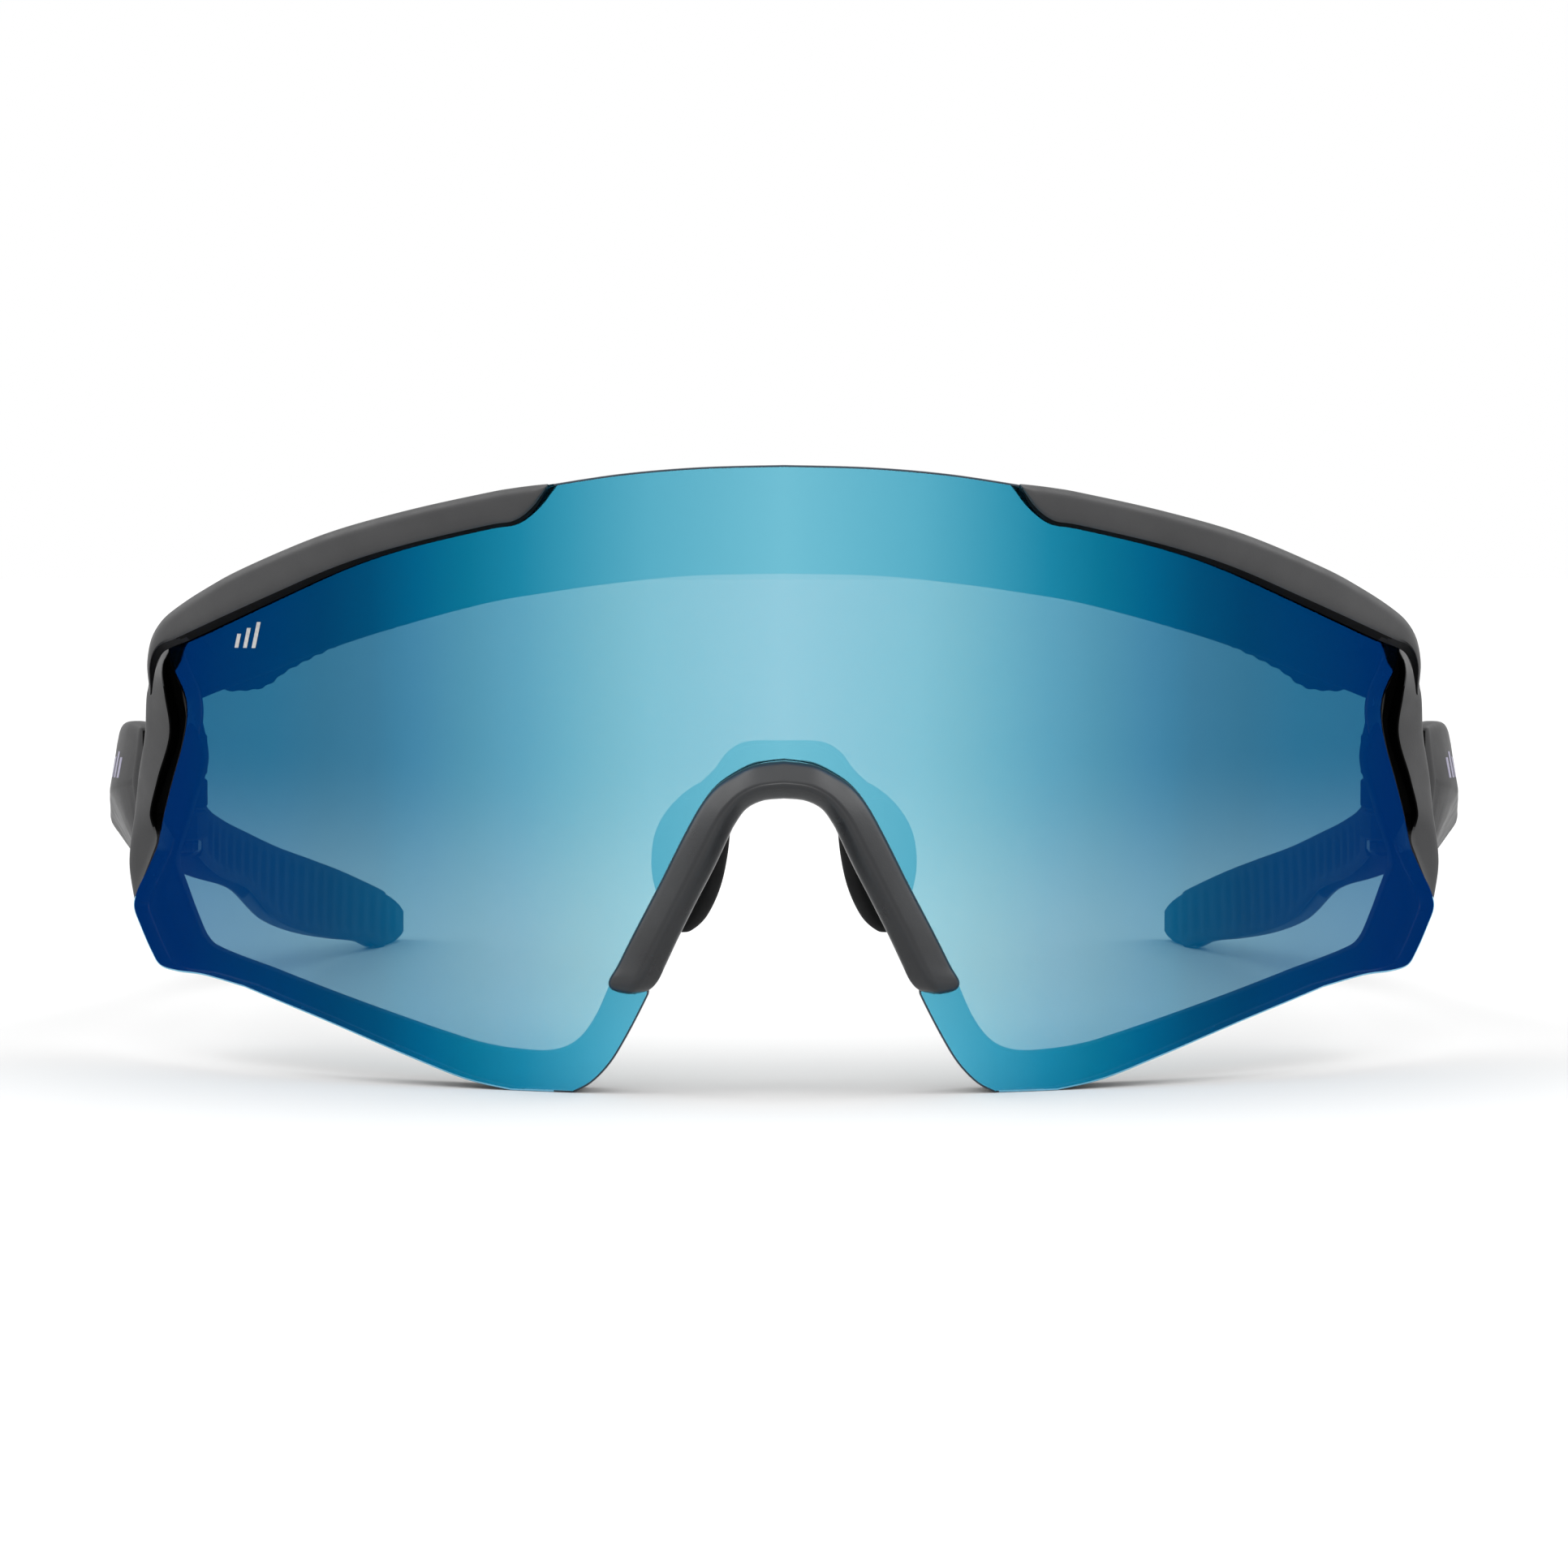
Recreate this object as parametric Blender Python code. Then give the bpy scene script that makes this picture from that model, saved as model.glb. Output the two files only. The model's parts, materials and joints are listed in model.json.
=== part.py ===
"""Wraparound sport sunglasses: a full-rim shield frame with folding temples.

All lengths are in millimetres and become metres where a mesh is made. X runs across
the face (+X is the wearer's left), Y from the lens back along the temples, Z up. The
glasses stand open on a table: both lens lobes and both temple tips touch Z = 0.
"""

import math

import bmesh
import bpy
from mathutils import Vector

MM = 0.001

# ---------------------------------------------------------------- driving dimensions
LENS_RADIUS = 90.0         # the shield is part of an upright cylinder
LENS_TOP = 60.9
LEAN = 0.10                # the lens leans back this much towards its bottom
LENS_THICKNESS = 2.0
GAP = 0.32                 # clearance between pieces that touch on the real object
RING_FRONT = LENS_THICKNESS + GAP
RING_BACK = 5.0            # depth of the lower rim behind the lens face
BROW_BACK = 7.0            # depth of the brow bar
RING_INSET = 0.12          # how far the rim stays inside the lens edge
RIM_STATIONS = (14, 16, 13, 18)    # along the brow, the side, the lower edge and the bridge
STRAIGHT_CUT = (20.0, 30.0)    # the lens edge is cut straight back inside this X, square outside

HINGE_X, HINGE_Y = 64.7, 49.5
KNUCKLE_RADIUS = 2.6
LUG_LOW = (22.2, 25.1)     # frame lugs, and the temple's knuckle between them
LUG_MIDDLE = (25.45, 28.55)
LUG_HIGH = (28.9, 33.4)
SCREW_RADIUS = 0.8
SCREW_HOLE = SCREW_RADIUS + GAP
BUSH_RADIUS = 1.5
BUSH_HOLE = BUSH_RADIUS + GAP
HEAD_RADIUS, HEAD_HEIGHT = 1.9, 0.9
NUT_RADIUS, NUT_HEIGHT = 2.0, 1.2

LINER = 0.8                # wall of the nose clip where it passes through the arch
GRIP_THICKNESS = 1.2
CAP_END = 52.6             # the temple's outer cap covers the hinge up to here
GRIP_START, TEMPLE_END, GRIP_END = 64.0, 157.0, 167.6
DEPTH_CENTRE = GRIP_END / 2    # the middle of the whole object, moved to Y = 0

# ---------------------------------------------------------------- outlines, +X half
LENS_TOP_EDGE = [(0, 60.9), (8, 60.7), (15.5, 60.1), (22.5, 59.1)]
LENS_UNDER_COVER = [(22.5, 59.1), (23.5, 58.3), (25.2, 57.2), (28.4, 56.4), (36.4, 54.8),
                    (44.8, 52.5), (53.5, 49.4), (58.1, 47.0), (61.4, 45.0), (62.9, 43.4)]
LENS_NOTCH = [(62.9, 43.4), (62.3, 41.2), (61.0, 38.6), (60.7, 36.4), (61.3, 33.4),
              (62.6, 29.6), (63.7, 26.2), (64.5, 23.2), (64.9, 22.1)]
LENS_LOBE = [(64.9, 22.1), (66.1, 19.9), (67.4, 17.7), (67.9, 15.9), (67.1, 13.9), (65.8, 11.4),
             (64.7, 10.0), (62.6, 9.6), (59.4, 9.5), (54.8, 8.7)]
LENS_BOTTOM = [(54.8, 8.7), (45.9, 5.9), (37.4, 2.9), (31.5, 0.9), (26.8, 0)]
LENS_FOOT = [(26.8, 0), (20.6, 0)]
LENS_NOSE = [(20.6, 0), (18.8, 1.0), (16.9, 3.0), (15.2, 5.8), (13.4, 9.3), (13.1, 10.2),
             (13.5, 11.0), (13.9, 12.0)]
LENS_ARCH = [(13.9, 12.0), (11.9, 15.9), (10.2, 19.4), (8.6, 22.6), (7.2, 25.8), (6.2, 27.8),
             (4.8, 29.7), (2.6, 30.8), (0, 31.1)]

BROW_EDGE = [(0, 50.6), (9.1, 50.4), (17.1, 49.6), (22.8, 48.8), (29.2, 47.7), (38.7, 45.2),
             (46.3, 42.8), (52.7, 40.4), (57.8, 38.6), (60.4, 37.6)]
SIDE_EDGE = [(60.4, 37.6), (59.7, 34.4), (59.2, 31.7), (59.7, 29.6), (60.5, 27.7), (61.6, 24.8),
             (63.0, 21.2), (62.9, 20.2), (62.1, 18.4), (60.8, 15.3), (59.5, 12.9), (57.6, 11.9),
             (51.9, 10.4)]
LOWER_EDGE = [(51.9, 10.4), (43.0, 7.8), (32.8, 4.9), (29.5, 4.1), (26.2, 3.7), (22.9, 3.7),
              (20.5, 4.7), (18.6, 7.1), (16.9, 10.9)]
BRIDGE_EDGE = [(16.9, 10.9), (14.2, 16.0), (11.8, 20.8), (9.6, 25.1), (8.1, 28.1), (6.9, 30.6),
               (5.4, 33.0), (3.6, 34.0), (1.8, 34.2), (0, 34.2)]

WALL_Z = [9.8, 11.5, 14.0, 17.0, 20.3, 25.5, 29.0, 34.0, 38.0, 41.0, 43.3, 45.0, 47.0]
RIDGE_X = [66.0, 66.9, 67.9, 68.7, 69.1, 68.5, 68.0, 66.9, 66.4, 65.1, 63.9, 62.5, 61.5]
RIDGE_Y = [38.5, 39.0, 39.6, 40.0, 40.0, 39.0, 37.6, 35.4, 33.6, 32.2, 31.2, 30.8, 30.4]
WALL_END = [40.5, 41.6, 42.8, 43.9, 44.6, 44.8, 44.8, 43.8, 41.6, 38.8, 36.4, 34.6, 33.0]
WALL_THICK = [4.4, 4.4, 4.4, 4.6, 4.9, 5.0, 5.1, 4.9, 3.9, 3.8, 4.2, 4.4, 4.4]
WALL_BLEND = [0.0, 0.7, 1.0, 1.0, 1.0, 1.0, 1.0, 1.0, 1.0, 1.0, 1.0, 0.6, 0.0]
PILLAR_WIDTH = [2.0, 2.0, 2.0, 2.0, 2.6, 2.1, 2.6, 3.2, 2.5, 1.1, 0.7, 0.7, 0.7]
PILLAR_TURN = [0.4, 0.4, 0.4, 0.4, 0.6, 1.8, 2.5, 2.6, 2.6, 2.6, 2.6, 2.6, 2.6]
PILLAR_LEAD = 0.4          # the pillar's inner edge lies this much in front of RIDGE_Y

COVER_TOP = [(22.4, 59.15), (24.0, 59.0), (26.0, 58.75), (28.4, 58.35), (36.4, 56.7), (44.8, 54.5),
             (53.5, 51.2), (58.1, 49.0), (61.4, 47.1), (63.2, 45.7), (64.4, 43.9), (64.95, 41.4),
             (65.0, 38.2)]
COVER_LOW = [(22.7, 58.6), (23.7, 56.8), (25.6, 55.3), (28.4, 54.8), (36.5, 53.0), (42.9, 51.0),
             (49.9, 48.1), (55.3, 45.8), (59.6, 44.0), (62.1, 43.1), (63.3, 42.4), (64.1, 41.0),
             (64.75, 38.2)]
COVER_REACH = [1.0, 1.0, 3.0, 7.0, 8.4, 8.4, 8.2, 8.0, 7.4, 6.0, 4.6, 3.2, 1.0]

BROW_PAD_LOW = [(33.0, 46.9), (38.7, 45.2), (42.5, 44.2), (46.3, 42.7), (50.5, 40.7), (53.6, 38.8),
                (58.2, 38.4)]
BROW_PAD_HIGH = [(33.4, 48.6), (38.9, 47.6), (42.7, 46.6), (46.6, 45.2), (51.0, 43.2),
                 (54.4, 41.6), (58.5, 39.6)]

CLIP_OUTER = [(0, 32.8), (2.8, 32.4), (5.1, 31.3), (6.7, 30.1), (8.1, 28.3), (9.8, 25.2),
              (12.0, 20.8), (14.5, 16.0), (16.1, 12.8), (16.95, 11.3), (16.8, 10.5), (16.0, 10.1)]
CLIP_INNER = [(0, 29.1), (2.0, 28.9), (3.6, 28.1), (4.7, 26.6), (5.3, 25.4), (6.7, 22.4),
              (8.3, 19.3), (10.0, 15.9), (11.4, 12.9), (12.2, 11.3), (13.1, 10.4), (14.5, 10.0)]
LINER_END = 12.6           # below this height the clip has no liner through the arch

SADDLE_OUTER = [(0, 34.4), (3.6, 34.3), (5.5, 33.3), (6.8, 31.6), (8.6, 29.9)]
SADDLE_INNER = [(0, 29.4), (2.2, 29.2), (3.9, 28.3), (5.1, 26.7), (5.9, 25.4)]

PAD_OUTLINE = [(6.1, 26.4), (6.4, 23.3), (7.0, 20.3), (7.9, 17.9), (9.0, 16.1), (10.4, 15.1),
               (11.6, 16.0), (12.8, 18.3), (13.5, 21.3), (13.2, 24.6), (11.9, 27.2), (9.7, 29.4),
               (7.7, 30.3), (6.7, 28.9)]
PAD_CENTRE = (9.8, 21.5)
PAD_FRONT_X, PAD_FRONT_Y = 6.0, 11.0
PAD_SWEEP = 0.8            # the pad opens outwards towards the face by this slope
PAD_THICKNESS = 2.2
PAD_PIVOT = (8.2, 12.9, 27.0)
STEM = [(6.2, 9.7), (9.8, 9.7), (9.8, 13.5), (6.4, 10.8)]     # from the saddle to the pad
STEM_Z = (25.3, 28.6)

# ---------------------------------------------------------------- temple, by Y station
TEMPLE_Y = [46.0, 48.0, 50.5, 53.2, 55.5, 58.0, 60.5, 64.0, 70.0, 80.0, 95.0, 110.0, 125.0, 140.0,
            150.0, 157.0, 163.0, 167.6]
INNER_X = [68.05, 68.05, 68.05, 63.9, 64.0, 64.5, 64.7, 64.8, 64.8, 64.6, 63.6, 62.1, 59.9, 57.6,
           55.4, 53.9, 52.8, 52.3]
OUTER_X = [69.6, 71.6, 72.8, 73.3, 73.7, 74.1, 74.5, 75.0, 73.8, 71.0, 68.2, 65.9, 63.5, 61.1,
           59.0, 57.6, 56.4, 55.4]
TOP_Z = [34.3, 34.8, 34.7, 34.0, 32.4, 29.9, 27.7, 26.0, 24.1, 22.2, 19.6, 16.9, 14.3, 11.6,
         9.3, 7.6, 6.0, 4.2]
CREASE_Z = [28.4, 27.9, 27.2, 26.4, 25.8, 25.1, 24.4, 22.9, 20.4, 18.2, 15.4, 12.3, 9.6, 7.1,
            5.3, 3.9, 2.9, 2.1]
BOTTOM_Z = [20.2, 20.2, 20.0, 19.9, 19.9, 19.8, 19.6, 19.1, 17.6, 15.5, 12.9, 7.8, 4.8, 2.7,
            1.4, 0, 0, 0.9]

MATERIALS = {
    "frame_plastic": ((0.085, 0.085, 0.088), 0.45, 0.0),
    "lens_mirror": ((0.03, 0.28, 0.45), 0.05, 0.6),
    "soft_rubber": ((0.03, 0.032, 0.035), 0.8, 0.0),
    "clip_plastic": ((0.045, 0.055, 0.06), 0.4, 0.0),
    "screw_steel": ((0.55, 0.55, 0.56), 0.3, 1.0),
}


# ---------------------------------------------------------------- helpers
def smooth(points, steps):
    """A Catmull-Rom curve through the points, with this many steps in each span."""
    result = []
    last = len(points) - 1
    for i in range(last):
        a, b = points[max(i - 1, 0)], points[i]
        c, d = points[i + 1], points[min(i + 2, last)]
        for k in range(steps):
            t = k / steps
            result.append(tuple(
                0.5 * (2 * q + (r - p) * t + (2 * p - 5 * q + 4 * r - s) * t * t
                       + (3 * q - p - 3 * r + s) * t ** 3)
                for p, q, r, s in zip(a, b, c, d)))
    return result + [tuple(points[-1])]


def resample(points, count):
    """The same line with points at equal distances along it, both ends kept."""
    lengths = [0.0]
    for a, b in zip(points, points[1:]):
        lengths.append(lengths[-1] + math.dist(a, b))
    result, i = [], 0
    for k in range(count):
        target = lengths[-1] * k / (count - 1)
        while i < len(points) - 2 and lengths[i + 1] < target:
            i += 1
        t = (target - lengths[i]) / max(lengths[i + 1] - lengths[i], 1e-9)
        result.append(tuple(a + (b - a) * t for a, b in zip(points[i], points[i + 1])))
    return result


def ease(value, start, end):
    """0 before start, 1 after end, and a soft step between them."""
    t = min(max((value - start) / (end - start), 0.0), 1.0)
    return t * t * (3 - 2 * t)


def on_lens(x, z, depth):
    """The point at X and Z that lies this deep behind the lens's front face."""
    radius = LENS_RADIUS - depth
    return Vector((x, LENS_RADIUS - math.sqrt(radius ** 2 - x ** 2) + LEAN * (LENS_TOP - z), z))


def through_lens(x, z, depth):
    """The point reached by going this deep from the front face, as the edge is cut there."""
    near, far = STRAIGHT_CUT
    square = min(max((abs(x) - near) / (far - near), 0.0), 1.0)
    return on_lens(x * (LENS_RADIUS - depth * square) / LENS_RADIUS, z, depth)


def material(name):
    if name in bpy.data.materials:
        return bpy.data.materials[name]
    colour, roughness, metallic = MATERIALS[name]
    made = bpy.data.materials.new(name)
    made.use_nodes = True
    shader = made.node_tree.nodes["Principled BSDF"]
    shader.inputs["Base Color"].default_value = (*colour, 1)
    shader.inputs["Roughness"].default_value = roughness
    shader.inputs["Metallic"].default_value = metallic
    return made


def add_object(name, bm, slot, side=1, pivot=(0, DEPTH_CENTRE, 0)):
    """Turns a closed mesh in millimetres into a node. side -1 mirrors it to the other half."""
    pivot = Vector((pivot[0] * side, pivot[1], pivot[2]))
    for vert in bm.verts:
        vert.co.x *= side
        vert.co = (vert.co - pivot) * MM
    bmesh.ops.triangulate(bm, faces=bm.faces)
    bmesh.ops.recalc_face_normals(bm, faces=bm.faces)
    mesh = bpy.data.meshes.new(name)
    bm.to_mesh(mesh)
    bm.free()
    mesh.shade_smooth()
    mesh.set_sharp_from_angle(angle=math.radians(35))
    mesh.materials.append(material(slot))
    obj = bpy.data.objects.new(name, mesh)
    obj.location = (pivot - Vector((0, DEPTH_CENTRE, 0))) * MM
    bpy.context.scene.collection.objects.link(obj)
    return obj


def loft(sections, closed=False):
    """Joins equal rings of points into one skin; an open run gets a cap at each end."""
    bm = bmesh.new()
    rings = [[bm.verts.new(p) for p in ring] for ring in sections]
    count = len(rings[0])
    pairs = list(zip(rings, rings[1:]))
    if closed:
        pairs.append((rings[-1], rings[0]))
    else:
        bm.faces.new(rings[0][::-1])
        bm.faces.new(rings[-1])
    for a, b in pairs:
        for i in range(count):
            j = (i + 1) % count
            bm.faces.new((a[i], a[j], b[j], b[i]))
    return bm


def turned(profile, segments=20):
    """A solid turned about the hinge axis from (radius, height) pairs, lowest first."""
    rings = []
    for radius, z in profile:
        rings.append([(HINGE_X + radius * math.cos(2 * math.pi * k / segments),
                       HINGE_Y + radius * math.sin(2 * math.pi * k / segments), z)
                      for k in range(segments)])
    return loft(rings)


def cylinder(radius, low, high, segments=20):
    return turned([(radius, low), (radius, high)], segments)


def boolean(target, tool_bm, operation, side, pivot=(0, DEPTH_CENTRE, 0)):
    """Applies one exact Boolean to an object and removes the tool."""
    tool = add_object("tool", tool_bm, "frame_plastic", side, pivot)
    modifier = target.modifiers.new(operation, "BOOLEAN")
    modifier.operation = operation
    modifier.object = tool
    modifier.solver = "EXACT"
    graph = bpy.context.evaluated_depsgraph_get()
    result = bpy.data.meshes.new_from_object(target.evaluated_get(graph))
    target.modifiers.clear()
    target.data = result
    bpy.data.objects.remove(tool)


# ---------------------------------------------------------------- front
def lens_half():
    """The lens edge from the top centre round to the nose arch's centre."""
    runs = [smooth(LENS_TOP_EDGE, 3), smooth(LENS_UNDER_COVER, 2), smooth(LENS_NOTCH, 2),
            smooth(LENS_LOBE, 2), smooth(LENS_BOTTOM, 2), list(LENS_FOOT),
            smooth(LENS_NOSE, 2), smooth(LENS_ARCH, 2)]
    line = []
    for run in runs:
        line += run[:-1]
    return line + [LENS_ARCH[-1]]


def slab(outline, front, back, slices):
    """A sheet of this outline bent round the lens cylinder, sliced upright for the bend."""
    bm = bmesh.new()
    bm.faces.new([bm.verts.new((x, 0, z)) for x, z in outline])
    for x in slices:
        geometry = bm.verts[:] + bm.edges[:] + bm.faces[:]
        bmesh.ops.bisect_plane(bm, geom=geometry, dist=1e-4, plane_co=(x, 0, 0), plane_no=(1, 0, 0))
    flat = {vert: vert.co.copy() for vert in bm.verts}
    bmesh.ops.triangulate(bm, faces=bm.faces)
    faces = bm.faces[:]
    rim = [edge for edge in bm.edges if edge.is_boundary]
    twin = {vert: bm.verts.new(through_lens(p.x, p.z, back)) for vert, p in flat.items()}
    for face in faces:
        bm.faces.new([twin[v] for v in reversed(face.verts)])
    for edge in rim:
        a, b = edge.verts
        bm.faces.new((a, b, twin[b], twin[a]))
    for vert, p in flat.items():
        vert.co = through_lens(p.x, p.z, front)
    return bm


def make_lens():
    half = lens_half()
    outline = half + [(-x, z) for x, z in half[-2:0:-1]]
    slices = [5.0 * k for k in range(-13, 14)]
    add_object("shield_lens", slab(outline, 0.0, LENS_THICKNESS, slices), "lens_mirror")


def table_value(table, keys, key):
    """A table's value at a key between its own keys, on straight lines."""
    k = max(i for i in range(len(keys) - 1) if keys[i] <= key or i == 0)
    t = min(max((key - keys[k]) / (keys[k + 1] - keys[k]), 0.0), 1.0)
    return table[k] + (table[k + 1] - table[k]) * t


def rim_section(outer, inner, brow, side):
    """Nine points round the rim at one station; at the sides they also form the wall."""
    back = RING_BACK + (BROW_BACK - RING_BACK) * brow
    at = [(outer[0] + (inner[0] - outer[0]) * t, outer[1] + (inner[1] - outer[1]) * t)
          for t in (0.0, 0.15, 0.5, 0.9)]
    ring = [on_lens(*outer, RING_FRONT), on_lens(*inner, RING_FRONT), on_lens(*inner, back - 0.6),
            on_lens(*at[3], back), on_lens(*at[2], back), on_lens(*at[1], back),
            on_lens(*outer, back - 0.5), on_lens(*outer, back - 1.0),
            on_lens(*outer, RING_FRONT + 0.6)]
    z = outer[1]
    if side and WALL_Z[0] < z < WALL_Z[-1]:
        ridge_x, ridge_y, end, thick, blend, width, turn = (
            table_value(table, WALL_Z, z) for table in
            (RIDGE_X, RIDGE_Y, WALL_END, WALL_THICK, WALL_BLEND, PILLAR_WIDTH, PILLAR_TURN))
        wall = [Vector((ridge_x - thick, end - 0.3, z)), Vector((ridge_x - thick / 2, end, z)),
                Vector((ridge_x, end - 1.2, z)), Vector((ridge_x, ridge_y + turn, z)),
                Vector((ridge_x - width, ridge_y - PILLAR_LEAD, z))]
        for k, goal in zip((4, 5, 6, 7, 8), wall):
            ring[k] = ring[k].lerp(goal, blend)
    return ring


def make_frame():
    outer_runs = [smooth(LENS_TOP_EDGE, 6)[:-1] + smooth(LENS_UNDER_COVER, 6),
                  smooth(LENS_NOTCH, 6)[:-1] + smooth(LENS_LOBE, 6),
                  smooth(LENS_BOTTOM, 6)[:-1] + LENS_FOOT[:-1] + smooth(LENS_NOSE, 6),
                  smooth(LENS_ARCH, 6)]
    inner_runs = [smooth(BROW_EDGE, 6), smooth(SIDE_EDGE, 6), smooth(LOWER_EDGE, 6),
                  smooth(BRIDGE_EDGE, 6)]
    outer, inner, brow = [], [], []
    for run, (outside, inside) in enumerate(zip(outer_runs, inner_runs)):
        outer += resample(outside, RIM_STATIONS[run])[:-1]
        inner += resample(inside, RIM_STATIONS[run])[:-1]
        brow += [1.0 if run == 0 else 0.0] * (RIM_STATIONS[run] - 1)
    outer.append(LENS_ARCH[-1])
    inner.append(BRIDGE_EDGE[-1])
    brow.append(0.0)
    sections = []
    for k, (o, i) in enumerate(zip(outer, inner)):
        aim = Vector((i[0] - o[0], i[1] - o[1])).normalized() * RING_INSET
        o = (o[0] + aim.x, o[1] + aim.y)
        nearby = brow[max(k - 2, 0):k + 3]
        sections.append(rim_section(o, i, sum(nearby) / len(nearby), o[0] > 55))
    far_side = [[Vector((-p.x, p.y, p.z)) for p in ring] for ring in sections[-2:0:-1]]
    frame = add_object("frame_front", loft(sections + far_side, closed=True), "frame_plastic")
    for side in (1, -1):
        for low, high in (LUG_LOW, LUG_HIGH):
            boolean(frame, cylinder(KNUCKLE_RADIUS, low, high), "UNION", side)
            neck = [[(x, y, z) for x, y in ((62.4, 44.0), (66.4, 44.0), (67.0, 48.6), (62.3, 48.6))]
                    for z in (low, high)]
            boolean(frame, loft(neck), "UNION", side)
            boolean(frame, cylinder(SCREW_HOLE, low - 1, high + 1, 12), "DIFFERENCE", side)
    frame.data.materials.clear()
    frame.data.materials.append(material("frame_plastic"))


def make_brow_cover(name, side):
    """An L-shaped shell: a front face over the lens and a roof back over its top edge."""
    top, low = smooth(COVER_TOP, 2), smooth(COVER_LOW, 2)
    depth = [d[0] for d in smooth([(d,) for d in COVER_REACH], 2)]
    sections = []
    for a, b, reach in zip(top, low, depth):
        back = Vector((0, reach, 0))
        toward = Vector((b[0] - a[0], b[1] - a[1]))
        width = toward.length
        roof = toward.normalized() * min(0.95, width * 0.45)
        edge = toward.normalized() * min(0.5, width * 0.25)
        under = (a[0] + roof.x, a[1] + roof.y)
        soft = (a[0] + edge.x, a[1] + edge.y)
        sections.append([on_lens(*b, -GAP), on_lens(*b, -1.7), on_lens(*soft, -2.1),
                         on_lens(*a, -1.4), on_lens(*a, -1.4) + back, on_lens(*under, -1.4) + back,
                         on_lens(*under, -GAP)])
    add_object(name, loft(sections), "frame_plastic", side)


def make_brow_pad(name, side):
    """A rubber strip on the back of the brow bar, reaching a little below it."""
    sections = []
    for b, a in zip(smooth(BROW_PAD_LOW, 3), smooth(BROW_PAD_HIGH, 3)):
        sections.append([on_lens(*b, BROW_BACK + GAP), on_lens(*a, BROW_BACK + GAP),
                         on_lens(*a, BROW_BACK + 1.2), on_lens(*b, BROW_BACK + 1.8)])
    add_object(name, loft(sections), "soft_rubber", side)


# ---------------------------------------------------------------- nose piece
def arch_sections(outer, inner, steps, section):
    """Sections along a whole arch, given one half of its two edges."""
    rings = [section(o, i) for o, i in zip(smooth(outer, steps), smooth(inner, steps))]
    far_side = [[Vector((-p.x, p.y, p.z)) for p in ring] for ring in rings[:0:-1]]
    return far_side + rings


def make_nose_clip():
    """The arch in front of the lens, with a ridge and a liner through the nose opening."""
    def section(o, i):
        ridge = (o[0] + (i[0] - o[0]) * 0.6, o[1] + (i[1] - o[1]) * 0.6)
        across = math.dist(o, i)
        lip = (i[0] + (o[0] - i[0]) * LINER / across, i[1] + (o[1] - i[1]) * LINER / across)
        deep = RING_BACK if i[1] > LINER_END else -0.7
        return [on_lens(*o, -GAP), on_lens(*o, -1.2), on_lens(*ridge, -2.9), on_lens(*i, -1.2),
                on_lens(*i, deep), on_lens(*lip, deep), on_lens(*lip, -GAP)]
    add_object("nose_clip", loft(arch_sections(CLIP_OUTER, CLIP_INNER, 2, section)), "clip_plastic")


def make_nose_saddle():
    """The rubber bridge behind the rim that both pads hang from."""
    def section(o, i):
        front = RING_BACK + GAP
        thick = 3.2 - 1.8 * (o[0] / SADDLE_OUTER[-1][0]) ** 2      # thinner towards the pads
        return [on_lens(*o, front), on_lens(*o, front + thick - 0.6), on_lens(*i, front + thick),
                on_lens(*i, front)]
    rings = arch_sections(SADDLE_OUTER, SADDLE_INNER, 2, section)
    saddle = add_object("nose_saddle", loft(rings), "soft_rubber")
    for side in (1, -1):
        stem = loft([[(x, y, z) for x, y in STEM] for z in STEM_Z])
        boolean(saddle, stem, "UNION", side)
    saddle.data.materials.clear()
    saddle.data.materials.append(material("soft_rubber"))


def make_nose_pad(name, side):
    """A leaf-shaped rubber pad that faces the side of the nose."""
    turn = math.atan(PAD_SWEEP)
    normal = Vector((-math.sin(turn), math.cos(turn), 0))
    outline = smooth(PAD_OUTLINE + PAD_OUTLINE[:1], 2)[:-1]
    layers = []
    for offset, shrink in ((0.0, 0.86), (0.5, 1.0), (PAD_THICKNESS - 0.6, 1.0), (PAD_THICKNESS, 0.8)):
        layer = []
        for x, z in outline:
            x = PAD_CENTRE[0] + (x - PAD_CENTRE[0]) * shrink
            z = PAD_CENTRE[1] + (z - PAD_CENTRE[1]) * shrink
            face = Vector((x, PAD_FRONT_Y + (x - PAD_FRONT_X) * PAD_SWEEP, z))
            layer.append(face + normal * offset)
        layers.append(layer)
    add_object(name, loft(layers), "soft_rubber", side, PAD_PIVOT)


# ---------------------------------------------------------------- temples
def temple_section(y, inset, thickness=None):
    """Nine points round the arm at a Y; inset moves the inner face out by that much."""
    inner = table_value(INNER_X, TEMPLE_Y, y) + inset
    outer = table_value(OUTER_X, TEMPLE_Y, y)
    if thickness:
        outer = inner + thickness
    top, low = table_value(TOP_Z, TEMPLE_Y, y), table_value(BOTTOM_Z, TEMPLE_Y, y)
    crease = table_value(CREASE_Z, TEMPLE_Y, y)
    bevel = min(0.7, (outer - inner) * 0.35)
    lean = 1 - ease(y, 50, 62)
    lower = outer - min((outer - inner) * (0.3 + 0.3 * lean), 2.2 + 0.7 * lean)
    shoulder = outer - min((outer - inner) * (0.2 + 0.3 * lean), 0.35 + 0.9 * lean)
    return [(inner, y, low + bevel), (inner, y, top - bevel), (inner + bevel, y, top),
            (shoulder - bevel, y, top), (shoulder, y, top - bevel), (outer, y, crease),
            (lower, y, low + bevel), (lower - bevel, y, low), (inner + bevel, y, low)]


def stations(start, end):
    """The temple's own stations between two places, and both places."""
    return [start, *[y for y in TEMPLE_Y if start < y < end], end]


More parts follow.
